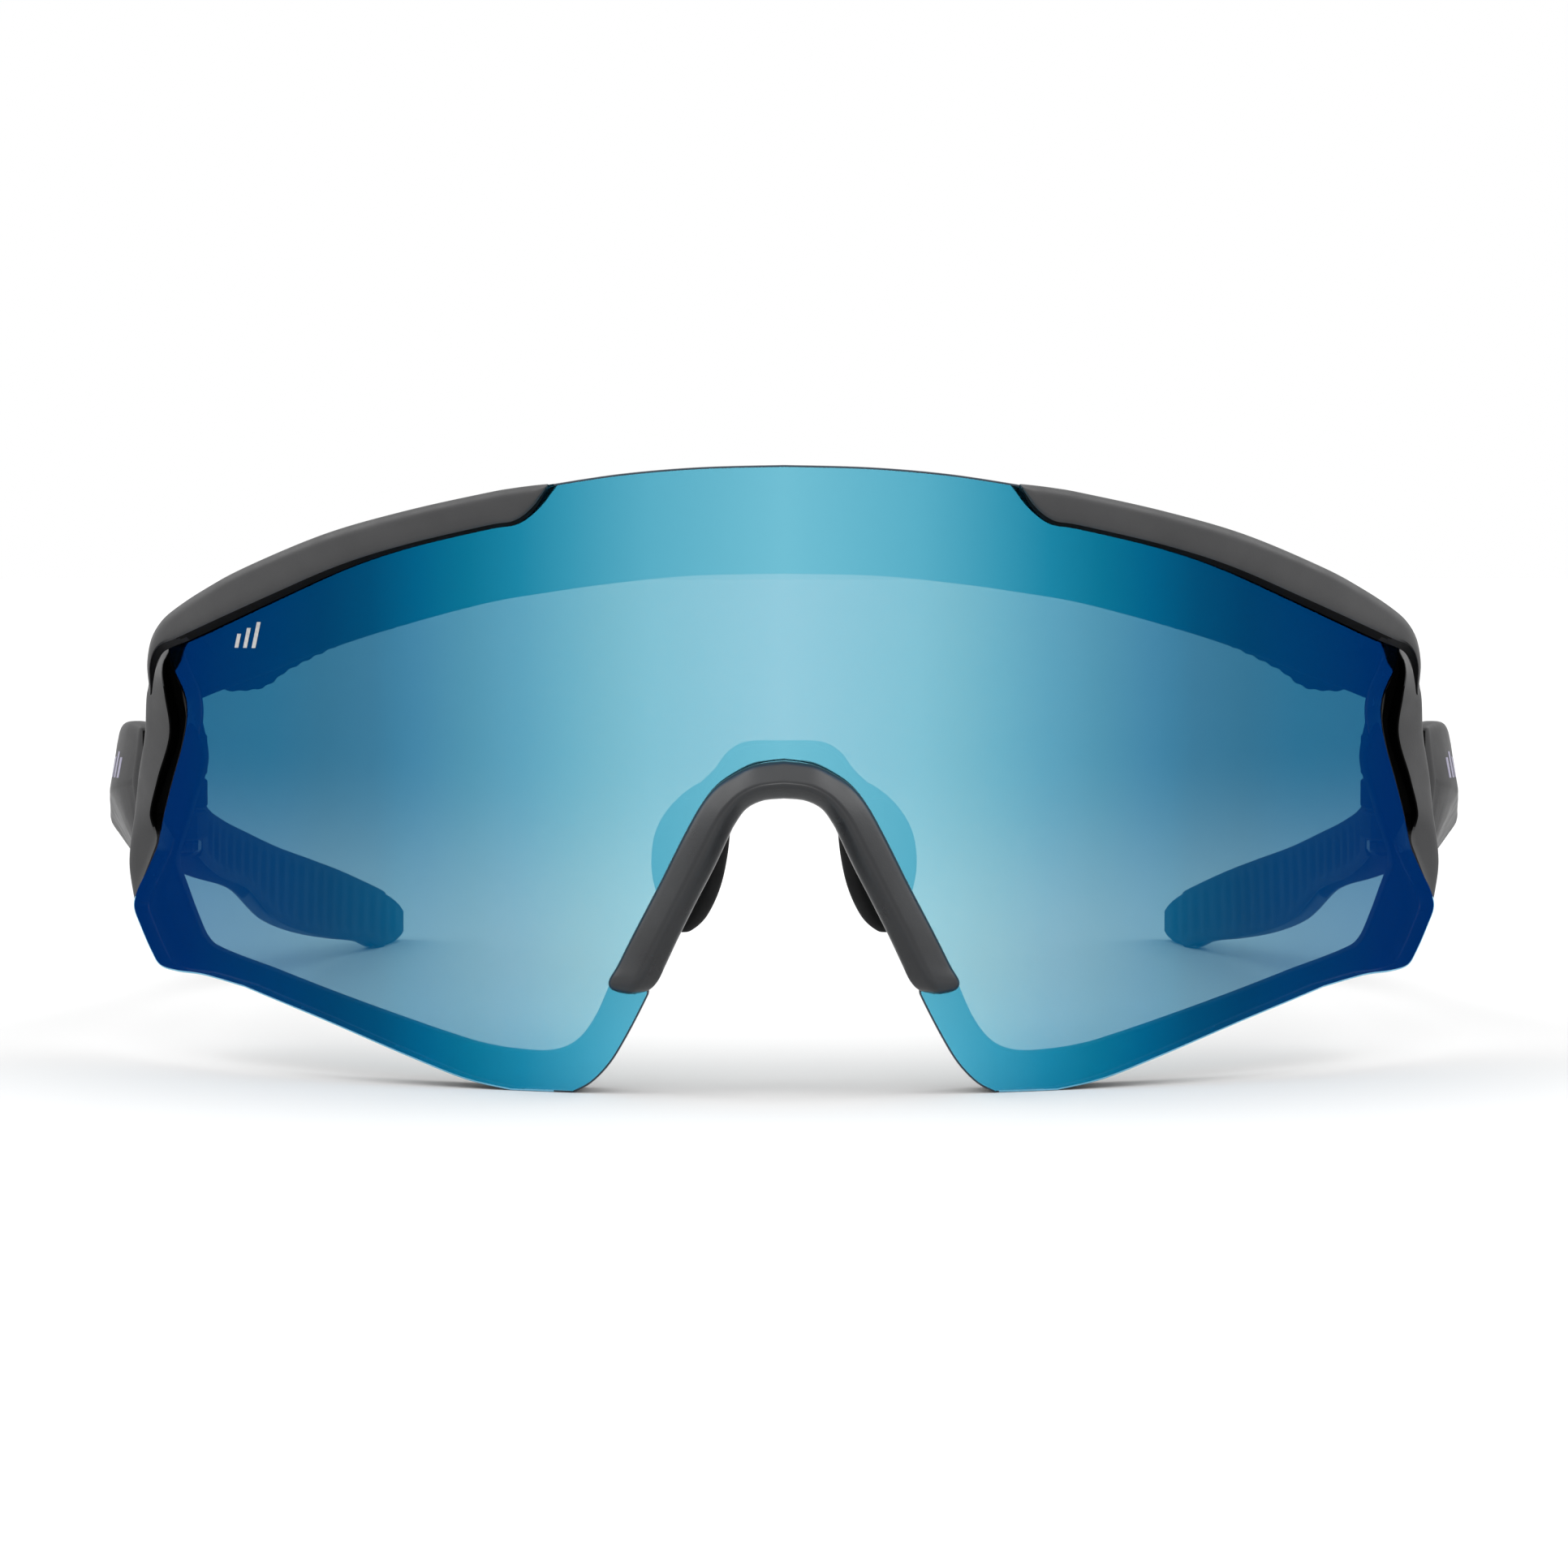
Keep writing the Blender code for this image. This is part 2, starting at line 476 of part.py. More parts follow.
def make_temple(name, side):
    """The hard arm: a cap outside the hinge, its knuckle and the long arm behind."""
    pivot = (HINGE_X, HINGE_Y, 0)
    cap = [temple_section(y, 0) for y in (*TEMPLE_Y[:3], CAP_END)]
    cap[-1] = [(max(x, INNER_X[0]), y, z) for x, y, z in cap[-1]]
    arm = [temple_section(y, 0) for y in (*TEMPLE_Y[3:7], 62.5, GRIP_START - GAP)]
    behind = stations(GRIP_START - GAP + 0.01, TEMPLE_END)
    arm += [temple_section(y, GRIP_THICKNESS + GAP) for y in behind]
    temple = add_object(name, loft(cap + arm), "frame_plastic", side, pivot)
    tongue = [[(x, y, z) for x, y in ((63.0, 50.0), (68.8, 50.0), (69.0, 54.4), (64.4, 54.4))]
              for z in LUG_MIDDLE]
    boolean(temple, cylinder(KNUCKLE_RADIUS, *LUG_MIDDLE), "UNION", side)
    boolean(temple, loft(tongue), "UNION", side)
    boolean(temple, cylinder(BUSH_HOLE, LUG_MIDDLE[0] - 1, LUG_MIDDLE[1] + 1, 12), "DIFFERENCE", side)
    temple.data.materials.clear()
    temple.data.materials.append(material("frame_plastic"))


def make_grip(name, side):
    """A rubber layer on the arm's inner face that also forms the whole tip."""
    layer = stations(GRIP_START, TEMPLE_END)
    tip = [TEMPLE_END + GAP, 160.0, 163.0, 165.5]
    sections = [temple_section(y, 0, GRIP_THICKNESS) for y in layer]
    sections += [temple_section(y, 0) for y in tip]
    end = temple_section(GRIP_END, 0)
    middle = Vector((sum(p[0] for p in end), sum(p[1] for p in end), sum(p[2] for p in end))) / len(end)
    sections.append([tuple(middle + (Vector(p) - middle) * 0.7) for p in end])
    add_object(name, loft(sections), "soft_rubber", side, (HINGE_X, HINGE_Y, 0))


# ---------------------------------------------------------------- hinge hardware
def tube(radius, hole, low, high, segments):
    """A ring-shaped piece standing on the hinge axis."""
    rings = []
    for k in range(segments):
        angle = 2 * math.pi * k / segments
        across = Vector((math.cos(angle), math.sin(angle), 0))
        centre = Vector((HINGE_X, HINGE_Y, 0))
        rings.append([centre + across * r + Vector((0, 0, z))
                      for r, z in ((hole, low), (radius, low), (radius, high), (hole, high))])
    return loft(rings, closed=True)


def make_hinge(side, tag):
    pivot = (HINGE_X, HINGE_Y, 0)
    head_low = LUG_HIGH[1] + GAP
    nut_high = LUG_LOW[0] - GAP
    screw = turned([(SCREW_RADIUS * 0.8, nut_high - NUT_HEIGHT), (SCREW_RADIUS, nut_high - 0.8),
                    (SCREW_RADIUS, head_low), (HEAD_RADIUS, head_low),
                    (HEAD_RADIUS, head_low + 0.5), (HEAD_RADIUS * 0.7, head_low + HEAD_HEIGHT)], 16)
    add_object("hinge_screw_" + tag, screw, "screw_steel", side, pivot)
    nut = tube(NUT_RADIUS, SCREW_HOLE, nut_high - NUT_HEIGHT, nut_high, 6)
    add_object("hinge_nut_" + tag, nut, "screw_steel", side, pivot)
    bush = tube(BUSH_RADIUS, SCREW_HOLE, *LUG_MIDDLE, 16)
    add_object("hinge_bush_" + tag, bush, "screw_steel", side, pivot)


def main():
    for obj in list(bpy.data.objects):
        bpy.data.objects.remove(obj)
    make_lens()
    make_frame()
    make_nose_clip()
    make_nose_saddle()
    for side, tag in ((1, "left"), (-1, "right")):
        make_brow_cover("brow_cover_" + tag, side)
        make_brow_pad("brow_pad_" + tag, side)
        make_nose_pad("nose_pad_" + tag, side)
        make_temple("temple_" + tag, side)
        make_grip("temple_grip_" + tag, side)
        make_hinge(side, tag)


main()
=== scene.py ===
"""Looks for the wraparound sport sunglasses: fine meshes, materials, floor, lights and camera.

Shapes are in millimetres, with X across the face, Y from the lens's front back along the
temples and Z up from the table. place() turns them into the frame's metres.
"""
import json
import math

import bmesh
import bpy
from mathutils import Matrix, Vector


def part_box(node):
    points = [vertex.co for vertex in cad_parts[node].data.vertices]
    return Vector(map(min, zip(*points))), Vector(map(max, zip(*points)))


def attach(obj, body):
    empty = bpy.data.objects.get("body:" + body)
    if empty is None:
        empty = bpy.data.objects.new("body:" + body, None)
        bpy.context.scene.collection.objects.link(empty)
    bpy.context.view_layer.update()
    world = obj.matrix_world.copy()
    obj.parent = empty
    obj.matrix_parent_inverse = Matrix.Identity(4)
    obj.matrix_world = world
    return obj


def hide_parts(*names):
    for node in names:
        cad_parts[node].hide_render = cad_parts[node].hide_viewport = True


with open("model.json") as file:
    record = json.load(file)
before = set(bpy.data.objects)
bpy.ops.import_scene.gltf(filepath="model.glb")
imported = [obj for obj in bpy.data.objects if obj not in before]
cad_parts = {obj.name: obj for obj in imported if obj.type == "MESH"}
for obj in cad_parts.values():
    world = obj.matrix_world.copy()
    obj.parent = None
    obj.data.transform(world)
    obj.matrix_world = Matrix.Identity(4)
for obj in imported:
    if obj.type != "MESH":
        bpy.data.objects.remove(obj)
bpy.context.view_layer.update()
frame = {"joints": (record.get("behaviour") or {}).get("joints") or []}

MM = 0.001
LENS_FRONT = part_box("shield_lens")[0].y / MM       # where the shapes' Y = 0 lies
HINGE = next(j for j in frame["joints"] if j["name"] == "left_temple_fold")["pos_m"]
HINGE_X, HINGE_Y = HINGE[0] / MM, HINGE[1] / MM - LENS_FRONT

# -------- sizes shared with the CAD
LENS_RADIUS = 90.0         # the shield is part of an upright cylinder
LENS_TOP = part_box("shield_lens")[1].z / MM
LEAN = 0.10                # the lens leans back this much towards its bottom
LENS_THICKNESS = 2.0
GAP = 0.32
RING_FRONT = LENS_THICKNESS + GAP
RING_BACK = 5.0
BROW_BACK = 7.0
RING_INSET = 0.12
STRAIGHT_CUT = (20.0, 30.0)    # the lens edge is cut straight back inside this X, square outside
KNUCKLE_RADIUS = 2.6
LUG_LOW = (22.2, 25.1)
LUG_MIDDLE = (25.45, 28.55)
LUG_HIGH = (28.9, 33.4)
SCREW_RADIUS = 0.8
SCREW_HOLE = SCREW_RADIUS + GAP
BUSH_RADIUS = 1.5
BUSH_HOLE = BUSH_RADIUS + GAP
HEAD_RADIUS, HEAD_HEIGHT = 1.9, 0.9
NUT_RADIUS, NUT_HEIGHT = 2.0, 1.2
LINER = 0.8
GRIP_THICKNESS = 1.2
CAP_END, CAP_INNER = 52.6, 68.05
ARM_START = 53.2
SHADE_END = 100.0          # painted shade: the arms' inner face and underside are black up to this Y
GRIP_START, TEMPLE_END, GRIP_END = 64.0, 157.0, 167.6

# -------- outlines, +X half
LENS_TOP_EDGE = [(0, 60.9), (8, 60.7), (15.5, 60.1), (22.5, 59.1)]
LENS_UNDER_COVER = [(22.5, 59.1), (23.5, 58.3), (25.2, 57.2), (28.4, 56.4), (36.4, 54.8),
                    (44.8, 52.5), (53.5, 49.4), (58.1, 47.0), (61.4, 45.0), (62.9, 43.4)]
LENS_NOTCH = [(62.9, 43.4), (62.3, 41.2), (61.0, 38.6), (60.7, 36.4), (61.3, 33.4),
              (62.6, 29.6), (63.7, 26.2), (64.5, 23.2), (64.9, 22.1)]
LENS_LOBE = [(64.9, 22.1), (66.1, 19.9), (67.4, 17.7), (67.9, 15.9), (67.1, 13.9), (65.8, 11.4),
             (64.7, 10.0), (62.6, 9.6), (59.4, 9.5), (54.8, 8.7)]
LENS_BOTTOM = [(54.8, 8.7), (45.9, 5.9), (37.4, 2.9), (31.5, 0.9), (26.8, 0)]
LENS_FOOT = [(26.8, 0), (20.6, 0)]
LENS_NOSE = [(20.6, 0), (18.8, 1.0), (16.9, 3.0), (15.2, 5.8), (13.4, 9.3), (13.1, 10.2),
             (13.5, 11.0), (13.9, 12.0)]
LENS_ARCH = [(13.9, 12.0), (11.9, 15.9), (10.2, 19.4), (8.6, 22.6), (7.2, 25.8), (6.2, 27.8),
             (4.8, 29.7), (2.6, 30.8), (0, 31.1)]

BROW_EDGE = [(0, 50.6), (9.1, 50.4), (17.1, 49.6), (22.8, 48.8), (29.2, 47.7), (38.7, 45.2),
             (46.3, 42.8), (52.7, 40.4), (57.8, 38.6), (60.4, 37.6)]
SIDE_EDGE = [(60.4, 37.6), (59.7, 34.4), (59.2, 31.7), (59.7, 29.6), (60.5, 27.7), (61.6, 24.8),
             (63.0, 21.2), (62.9, 20.2), (62.1, 18.4), (60.8, 15.3), (59.5, 12.9), (57.6, 11.9),
             (51.9, 10.4)]
LOWER_EDGE = [(51.9, 10.4), (43.0, 7.8), (32.8, 4.9), (29.5, 4.1), (26.2, 3.7), (22.9, 3.7),
              (20.5, 4.7), (18.6, 7.1), (16.9, 10.9)]
BRIDGE_EDGE = [(16.9, 10.9), (14.2, 16.0), (11.8, 20.8), (9.6, 25.1), (8.1, 28.1), (6.9, 30.6),
               (5.4, 33.0), (3.6, 34.0), (1.8, 34.2), (0, 34.2)]

WALL_Z = [9.8, 11.5, 14.0, 17.0, 20.3, 25.5, 29.0, 34.0, 38.0, 41.0, 43.3, 45.0, 47.0]
RIDGE_X = [66.0, 66.9, 67.9, 68.7, 69.1, 68.5, 68.0, 66.9, 66.4, 65.1, 63.9, 62.5, 61.5]
RIDGE_Y = [38.5, 39.0, 39.6, 40.0, 40.0, 39.0, 37.6, 35.4, 33.6, 32.2, 31.2, 30.8, 30.4]
WALL_END = [40.5, 41.6, 42.8, 43.9, 44.6, 44.8, 44.8, 43.8, 41.6, 38.8, 36.4, 34.6, 33.0]
WALL_THICK = [4.4, 4.4, 4.4, 4.6, 4.9, 5.0, 5.1, 4.9, 3.9, 3.8, 4.2, 4.4, 4.4]
WALL_BLEND = [0.0, 0.7, 1.0, 1.0, 1.0, 1.0, 1.0, 1.0, 1.0, 1.0, 1.0, 0.6, 0.0]
PILLAR_WIDTH = [2.0, 2.0, 2.0, 2.0, 2.6, 2.1, 2.6, 3.2, 2.5, 1.1, 0.7, 0.7, 0.7]
PILLAR_TURN = [0.4, 0.4, 0.4, 0.4, 0.6, 1.8, 2.5, 2.6, 2.6, 2.6, 2.6, 2.6, 2.6]
PILLAR_LEAD = 0.4          # the pillar's inner edge lies this much in front of RIDGE_Y
RECESS_Z = [36.5, 38.0, 41.0, 43.3, 45.0, 47.0]
RECESS_X = [66.4, 66.4, 65.8, 64.8, 63.4, 61.6]     # outer wall of the recess beside the hood

COVER_TOP = [(22.4, 59.15), (24.0, 59.0), (26.0, 58.75), (28.4, 58.35), (36.4, 56.7), (44.8, 54.5),
             (53.5, 51.2), (58.1, 49.0), (61.4, 47.1), (63.2, 45.7), (64.4, 43.9), (64.95, 41.4),
             (65.0, 38.2)]
COVER_LOW = [(22.7, 58.6), (23.7, 56.8), (25.6, 55.3), (28.4, 54.8), (36.5, 53.0), (42.9, 51.0),
             (49.9, 48.1), (55.3, 45.8), (59.6, 44.0), (62.1, 43.1), (63.3, 42.4), (64.1, 41.0),
             (64.75, 38.2)]
COVER_REACH = [1.0, 1.0, 3.0, 7.0, 8.4, 8.4, 8.2, 8.0, 7.4, 6.0, 4.6, 3.2, 1.0]
COVER_TURN = 44.0          # the cover runs down the side below this Z

BROW_PAD_LOW = [(33.0, 46.9), (38.7, 45.2), (42.5, 44.2), (46.3, 42.7), (50.5, 40.7), (53.6, 38.8),
                (58.2, 38.4)]
BROW_PAD_HIGH = [(33.4, 48.6), (38.9, 47.6), (42.7, 46.6), (46.6, 45.2), (51.0, 43.2),
                 (54.4, 41.6), (58.5, 39.6)]
BROW_RIB_PITCH = 1.6

CLIP_OUTER = [(0, 32.8), (2.8, 32.4), (5.1, 31.3), (6.7, 30.1), (8.1, 28.3), (9.8, 25.2),
              (12.0, 20.8), (14.5, 16.0), (16.1, 12.8), (16.95, 11.3), (16.8, 10.5), (16.0, 10.1)]
CLIP_INNER = [(0, 29.1), (2.0, 28.9), (3.6, 28.1), (4.7, 26.6), (5.3, 25.4), (6.7, 22.4),
              (8.3, 19.3), (10.0, 15.9), (11.4, 12.9), (12.2, 11.3), (13.1, 10.4), (14.5, 10.0)]
LINER_END = 12.6

SADDLE_OUTER = [(0, 34.4), (3.6, 34.3), (5.5, 33.3), (6.8, 31.6), (8.6, 29.9)]
SADDLE_INNER = [(0, 29.4), (2.2, 29.2), (3.9, 28.3), (5.1, 26.7), (5.9, 25.4)]
STEM = [(6.2, 9.7), (9.8, 9.7), (9.8, 13.5), (6.4, 10.8)]
STEM_Z = (25.3, 28.6)

PAD_OUTLINE = [(6.1, 26.4), (6.4, 23.3), (7.0, 20.3), (7.9, 17.9), (9.0, 16.1), (10.4, 15.1),
               (11.6, 16.0), (12.8, 18.3), (13.5, 21.3), (13.2, 24.6), (11.9, 27.2), (9.7, 29.4),
               (7.7, 30.3), (6.7, 28.9)]
PAD_CENTRE = (9.8, 21.5)
PAD_FRONT_X, PAD_FRONT_Y = 6.0, 11.0
PAD_SWEEP = 0.8
PAD_THICKNESS = 2.2

# -------- temple, by Y station
TEMPLE_Y = [46.0, 48.0, 50.5, 53.2, 55.5, 58.0, 60.5, 64.0, 70.0, 80.0, 95.0, 110.0, 125.0, 140.0,
            150.0, 157.0, 163.0, 167.6]
INNER_X = [63.9, 63.9, 63.9, 63.9, 64.0, 64.5, 64.7, 64.8, 64.8, 64.6, 63.6, 62.1, 59.9, 57.6,
           55.4, 53.9, 52.8, 52.3]
OUTER_X = [69.6, 71.6, 72.8, 73.3, 73.7, 74.1, 74.5, 75.0, 73.8, 71.0, 68.2, 65.9, 63.5, 61.1,
           59.0, 57.6, 56.4, 55.4]
TOP_Z = [34.3, 34.8, 34.7, 34.0, 32.4, 29.9, 27.7, 26.0, 24.1, 22.2, 19.6, 16.9, 14.3, 11.6,
         9.3, 7.6, 6.0, 4.2]
CREASE_Z = [28.4, 27.9, 27.2, 26.4, 25.8, 25.1, 24.4, 22.9, 20.4, 18.2, 15.4, 12.3, 9.6, 7.1,
            5.3, 3.9, 2.9, 2.1]
BOTTOM_Z = [20.2, 20.2, 20.0, 19.9, 19.9, 19.8, 19.6, 19.1, 17.6, 15.5, 12.9, 7.8, 4.8, 2.7,
            1.4, 0, 0, 0.9]
GRIP_RIB_PITCH = 4.5
GRIP_RIB_DEPTH = 0.4


# -------- curves and rings
def smooth(points, steps):
    """A Catmull-Rom curve through the points, with this many steps in each span."""
    result = []
    last = len(points) - 1
    for i in range(last):
        a, b = points[max(i - 1, 0)], points[i]
        c, d = points[i + 1], points[min(i + 2, last)]
        for k in range(steps):
            t = k / steps
            result.append(tuple(
                0.5 * (2 * q + (r - p) * t + (2 * p - 5 * q + 4 * r - s) * t * t
                       + (3 * q - p - 3 * r + s) * t ** 3)
                for p, q, r, s in zip(a, b, c, d)))
    return result + [tuple(points[-1])]


def resample(points, count):
    """The same line with points at equal distances along it, both ends kept."""
    lengths = [0.0]
    for a, b in zip(points, points[1:]):
        lengths.append(lengths[-1] + math.dist(a, b))
    result, i = [], 0
    for k in range(count):
        target = lengths[-1] * k / (count - 1)
        while i < len(points) - 2 and lengths[i + 1] < target:
            i += 1
        t = (target - lengths[i]) / max(lengths[i + 1] - lengths[i], 1e-9)
        result.append(tuple(a + (b - a) * t for a, b in zip(points[i], points[i + 1])))
    return result


def curve_value(table, keys, key):
    """A table's value between its keys, on a curve that never swings past them."""
    key = min(max(key, keys[0]), keys[-1])
    k = max(i for i in range(len(keys) - 1) if keys[i] <= key)
    steps = [(b - a) / (q - p) for a, b, p, q in zip(table, table[1:], keys, keys[1:])]

    def slope(i):
        if i == 0 or i == len(steps):
            return steps[min(i, len(steps) - 1)]
        before, after = steps[i - 1], steps[i]
        return 0.0 if before * after <= 0 else 2 * before * after / (before + after)

    width = keys[k + 1] - keys[k]
    t = (key - keys[k]) / width
    return ((1 + 2 * t) * (1 - t) ** 2 * table[k] + t * (1 - t) ** 2 * width * slope(k)
            + t * t * (3 - 2 * t) * table[k + 1] + t * t * (t - 1) * width * slope(k + 1))


def ease(value, start, end):
    """0 before start, 1 after end, and a soft step between them."""
    t = min(max((value - start) / (end - start), 0.0), 1.0)
    return t * t * (3 - 2 * t)


def mix(a, b, t):
    return tuple(p + (q - p) * t for p, q in zip(a, b))


def on_lens(x, z, depth):
    """The point at X and Z that lies this deep behind the lens's front face."""
    radius = LENS_RADIUS - depth
    return Vector((x, LENS_RADIUS - math.sqrt(radius ** 2 - x ** 2) + LEAN * (LENS_TOP - z), z))


def through_lens(x, z, depth):
    """The point reached by going this deep from the front face, as the edge is cut there."""
    near, far = STRAIGHT_CUT
    square = min(max((abs(x) - near) / (far - near), 0.0), 1.0)
    return on_lens(x * (LENS_RADIUS - depth * square) / LENS_RADIUS, z, depth)


def rounded_ring(points, radii, steps=3):
    """A ring whose corners are curves that start this far from each corner."""
    ring = []
    for i, radius in enumerate(radii):
        corner = Vector(points[i])
        before = Vector(points[i - 1]) - corner
        after = Vector(points[(i + 1) % len(points)]) - corner
        start = corner + before.normalized() * min(radius, before.length * 0.45)
        end = corner + after.normalized() * min(radius, after.length * 0.45)
        for k in range(steps + 1):
            t = k / steps
            ring.append(start.lerp(corner, t).lerp(corner.lerp(end, t), t))
    return ring


def inset(ring, amount):
    """The ring moved inwards by this much in its own plane."""
    facing = Vector()
    for a, b in zip(ring, ring[1:] + ring[:1]):
        facing += a.cross(b)
    facing.normalize()
    moved = []
    for i, point in enumerate(ring):
        along = (ring[(i + 1) % len(ring)] - ring[i - 1]).normalized()
        moved.append(point + facing.cross(along) * amount)
    return moved


def centre(ring):
    return sum(ring, Vector()) / len(ring)


def rounded_end(ring, before, radius, steps=4):
    """Sections that close a run off with a rounded edge, in place of its last section."""
    outward = (centre(ring) - centre(before)).normalized()
    made = []
    for k in range(steps + 1):
        angle = math.pi / 2 * k / steps
        back = outward * radius * (math.sin(angle) - 1)
        made.append([p + back for p in inset(ring, radius * (1 - math.cos(angle)))])
    return made


def rounded_run(sections, radius, start=True, end=True):
    """The run with one or both of its ends rounded over."""
    run = list(sections)
    if start:
        run = rounded_end(run[0], run[1], radius)[::-1] + run[1:]
    if end:
        run = run[:-1] + rounded_end(run[-1], run[-2], radius)
    return run


# -------- meshes and pieces
def loft(sections, closed=False, dark=()):
    """Joins equal rings into one skin, with caps if open. Dark strips use material 1."""
    bm = bmesh.new()
    rings = [[bm.verts.new(p) for p in ring] for ring in sections]
    count = len(rings[0])
    pairs = list(zip(rings, rings[1:]))
    if closed:
        pairs.append((rings[-1], rings[0]))
    else:
        bm.faces.new(rings[0][::-1])
        bm.faces.new(rings[-1])
    for a, b in pairs:
        for i in range(count):
            j = (i + 1) % count
            bm.faces.new((a[i], a[j], b[j], b[i])).material_index = int(i in dark)
    return bm


def merge(meshes):
    """One mesh holding all of these, which stay separate shells."""
    whole = meshes[0]
    for other in meshes[1:]:
        twin = {vert: whole.verts.new(vert.co) for vert in other.verts}
        for face in other.faces:
            whole.faces.new([twin[v] for v in face.verts])
        other.free()
    return whole


def place(bm, side=1):
    """Moves a mesh from the shapes' millimetres into the frame's metres."""
    for vert in bm.verts:
        vert.co = Vector((vert.co.x * side, vert.co.y + LENS_FRONT, vert.co.z)) * MM
    bmesh.ops.recalc_face_normals(bm, faces=bm.faces)
    return bm


def new_object(name, data):
    made = bpy.data.objects.new(name, data)
    bpy.context.scene.collection.objects.link(made)
    return made


def mesh_object(name, bm, side=1, materials=()):
    mesh = bpy.data.meshes.new(name)
    place(bm, side).to_mesh(mesh)
    bm.free()
    for material in materials:
        mesh.materials.append(material)
    return new_object(name, mesh)


def combine(target, tool_bm, operation, side=1):
    """One exact Boolean with a tool mesh, applied."""
    tool = mesh_object("tool", tool_bm, side)
    modifier = target.modifiers.new(operation, "BOOLEAN")
    modifier.operation = operation
    modifier.object = tool
    modifier.solver = "EXACT"
    graph = bpy.context.evaluated_depsgraph_get()
    result = bpy.data.meshes.new_from_object(target.evaluated_get(graph))
    target.modifiers.clear()
    target.data = result
    bpy.data.objects.remove(tool)


def finish_piece(obj, body, materials, node=None, sharp=32):
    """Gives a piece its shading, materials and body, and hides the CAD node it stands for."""
    mesh = obj.data
    mesh.shade_smooth()
    mesh.set_sharp_from_angle(angle=math.radians(sharp))
    while len(mesh.materials) < len(materials):
        mesh.materials.append(None)
    for k, material in enumerate(materials):
        mesh.materials[k] = material
    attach(obj, body)
    if node:
        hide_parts(node)


# -------- materials
def new_material(name):
    made = bpy.data.materials.new(name)
    made.use_nodes = True
    return made, made.node_tree, made.node_tree.nodes["Principled BSDF"]


def add_node(tree, kind, **values):
    """A node with some of its input sockets set by name (spaces written as _)."""
    made = tree.nodes.new("ShaderNode" + kind)
    for key, value in values.items():
        made.inputs[key.replace("_", " ")].default_value = value
    return made


def noise(tree, scale, detail=3.0, stretch=(1, 1, 1)):
    """A noise pattern in the piece's own space; scale is in features per metre."""
    coords = add_node(tree, "TexCoord")
    mapping = add_node(tree, "Mapping", Scale=stretch)
    pattern = add_node(tree, "TexNoise", Scale=scale, Detail=detail)
    tree.links.new(coords.outputs["Object"], mapping.inputs["Vector"])
    tree.links.new(mapping.outputs["Vector"], pattern.inputs["Vector"])
    return pattern.outputs["Fac"]


def spread(tree, source, low, high):
    """A pattern's 0.3 to 0.7 range stretched over low to high."""
    made = add_node(tree, "MapRange", From_Min=0.3, From_Max=0.7, To_Min=low, To_Max=high)
    tree.links.new(source, made.inputs["Value"])
    return made.outputs["Result"]


def mottle(tree, shader, scale, detail, dark, light):
    """A base colour that runs between two tones as a noise pattern does."""
    made = tree.nodes.new("ShaderNodeValToRGB")
    made.color_ramp.elements[0].position = 0.3
    made.color_ramp.elements[0].color = (*dark, 1)
    made.color_ramp.elements[1].position = 0.7
    made.color_ramp.elements[1].color = (*light, 1)
    tree.links.new(noise(tree, scale, detail), made.inputs["Fac"])
    tree.links.new(made.outputs["Color"], shader.inputs["Base Color"])


def bump(tree, shader, height, depth):
    made = add_node(tree, "Bump", Strength=1.0, Distance=depth)
    tree.links.new(height, made.inputs["Height"])
    tree.links.new(made.outputs["Normal"], shader.inputs["Normal"])


def moulded(name, dark, light, rough, shine, grain, depth):
    """A moulded surface: mottled tone, uneven gloss and a fine grain."""
    material, tree, shader = new_material(name)
    shader.inputs["Specular IOR Level"].default_value = shine
    mottle(tree, shader, 160, 4, dark, light)
    tree.links.new(spread(tree, noise(tree, 420, 5), *rough), shader.inputs["Roughness"])
    bump(tree, shader, noise(tree, grain, 2), depth)
    return material


def own_axis(tree, axis):
    """Each point's X, Y or Z in the piece's own space."""
    split = tree.nodes.new("ShaderNodeSeparateXYZ")
    tree.links.new(add_node(tree, "TexCoord").outputs["Object"], split.inputs[0])
    return split.outputs[axis]


def side_ramp(tree, stops):
    """A colour that depends on the distance from the middle of the face, in millimetres."""
    size = tree.nodes.new("ShaderNodeMath")
    size.operation = "ABSOLUTE"
    scale = tree.nodes.new("ShaderNodeMath")
    scale.operation = "DIVIDE"
    scale.inputs[1].default_value = stops[-1][0] * MM
    ramp = tree.nodes.new("ShaderNodeValToRGB")
    elements = ramp.color_ramp.elements
    while len(elements) < len(stops):
        elements.new(0.5)
    for element, (distance, _) in zip(elements, stops):
        element.position = distance / stops[-1][0]
    for element, (_, colour) in zip(elements, stops):
        element.color = (*colour, 1)
    tree.links.new(own_axis(tree, "X"), size.inputs[0])
    tree.links.new(size.outputs[0], scale.inputs[0])
    tree.links.new(scale.outputs[0], ramp.inputs["Fac"])
    return ramp.outputs["Color"]


MIRROR_SHARE = 0.66        # of the light that the front coat stops
SMOKE_SHARE = 0.18         # of the rest that the tinted body stops
# painted reflection: the coat's colour runs from cyan in the middle to navy at the sides, set by
# distance from the middle to stand in for the hue and brightness its reflection shows from the front
MIRROR_STOPS = [(0, (0.137, 0.433, 0.546)), (12.8, (0.082, 0.354, 0.474)),
                (20.7, (0.031, 0.259, 0.380)), (25.5, (0.009, 0.196, 0.314)),
                (30.4, (0.0025, 0.145, 0.248)), (35.6, (0.0004, 0.098, 0.204)),
                (40.3, (0.0003, 0.061, 0.147)), (45.5, (0.0002, 0.042, 0.120)),
                (50.0, (0.0002, 0.036, 0.121)), (61.4, (0.0005, 0.020, 0.102)),
                (68.0, (0.0003, 0.020, 0.090))]
TINT_HIGH = [(0, (0.39, 0.24, 0.20)), (17, (0.36, 0.36, 0.28)), (27, (0.29, 0.39, 0.41)),
             (38, (0.15, 0.36, 0.43)), (52, (0.08, 0.37, 0.44)), (68, (0.07, 0.37, 0.44))]
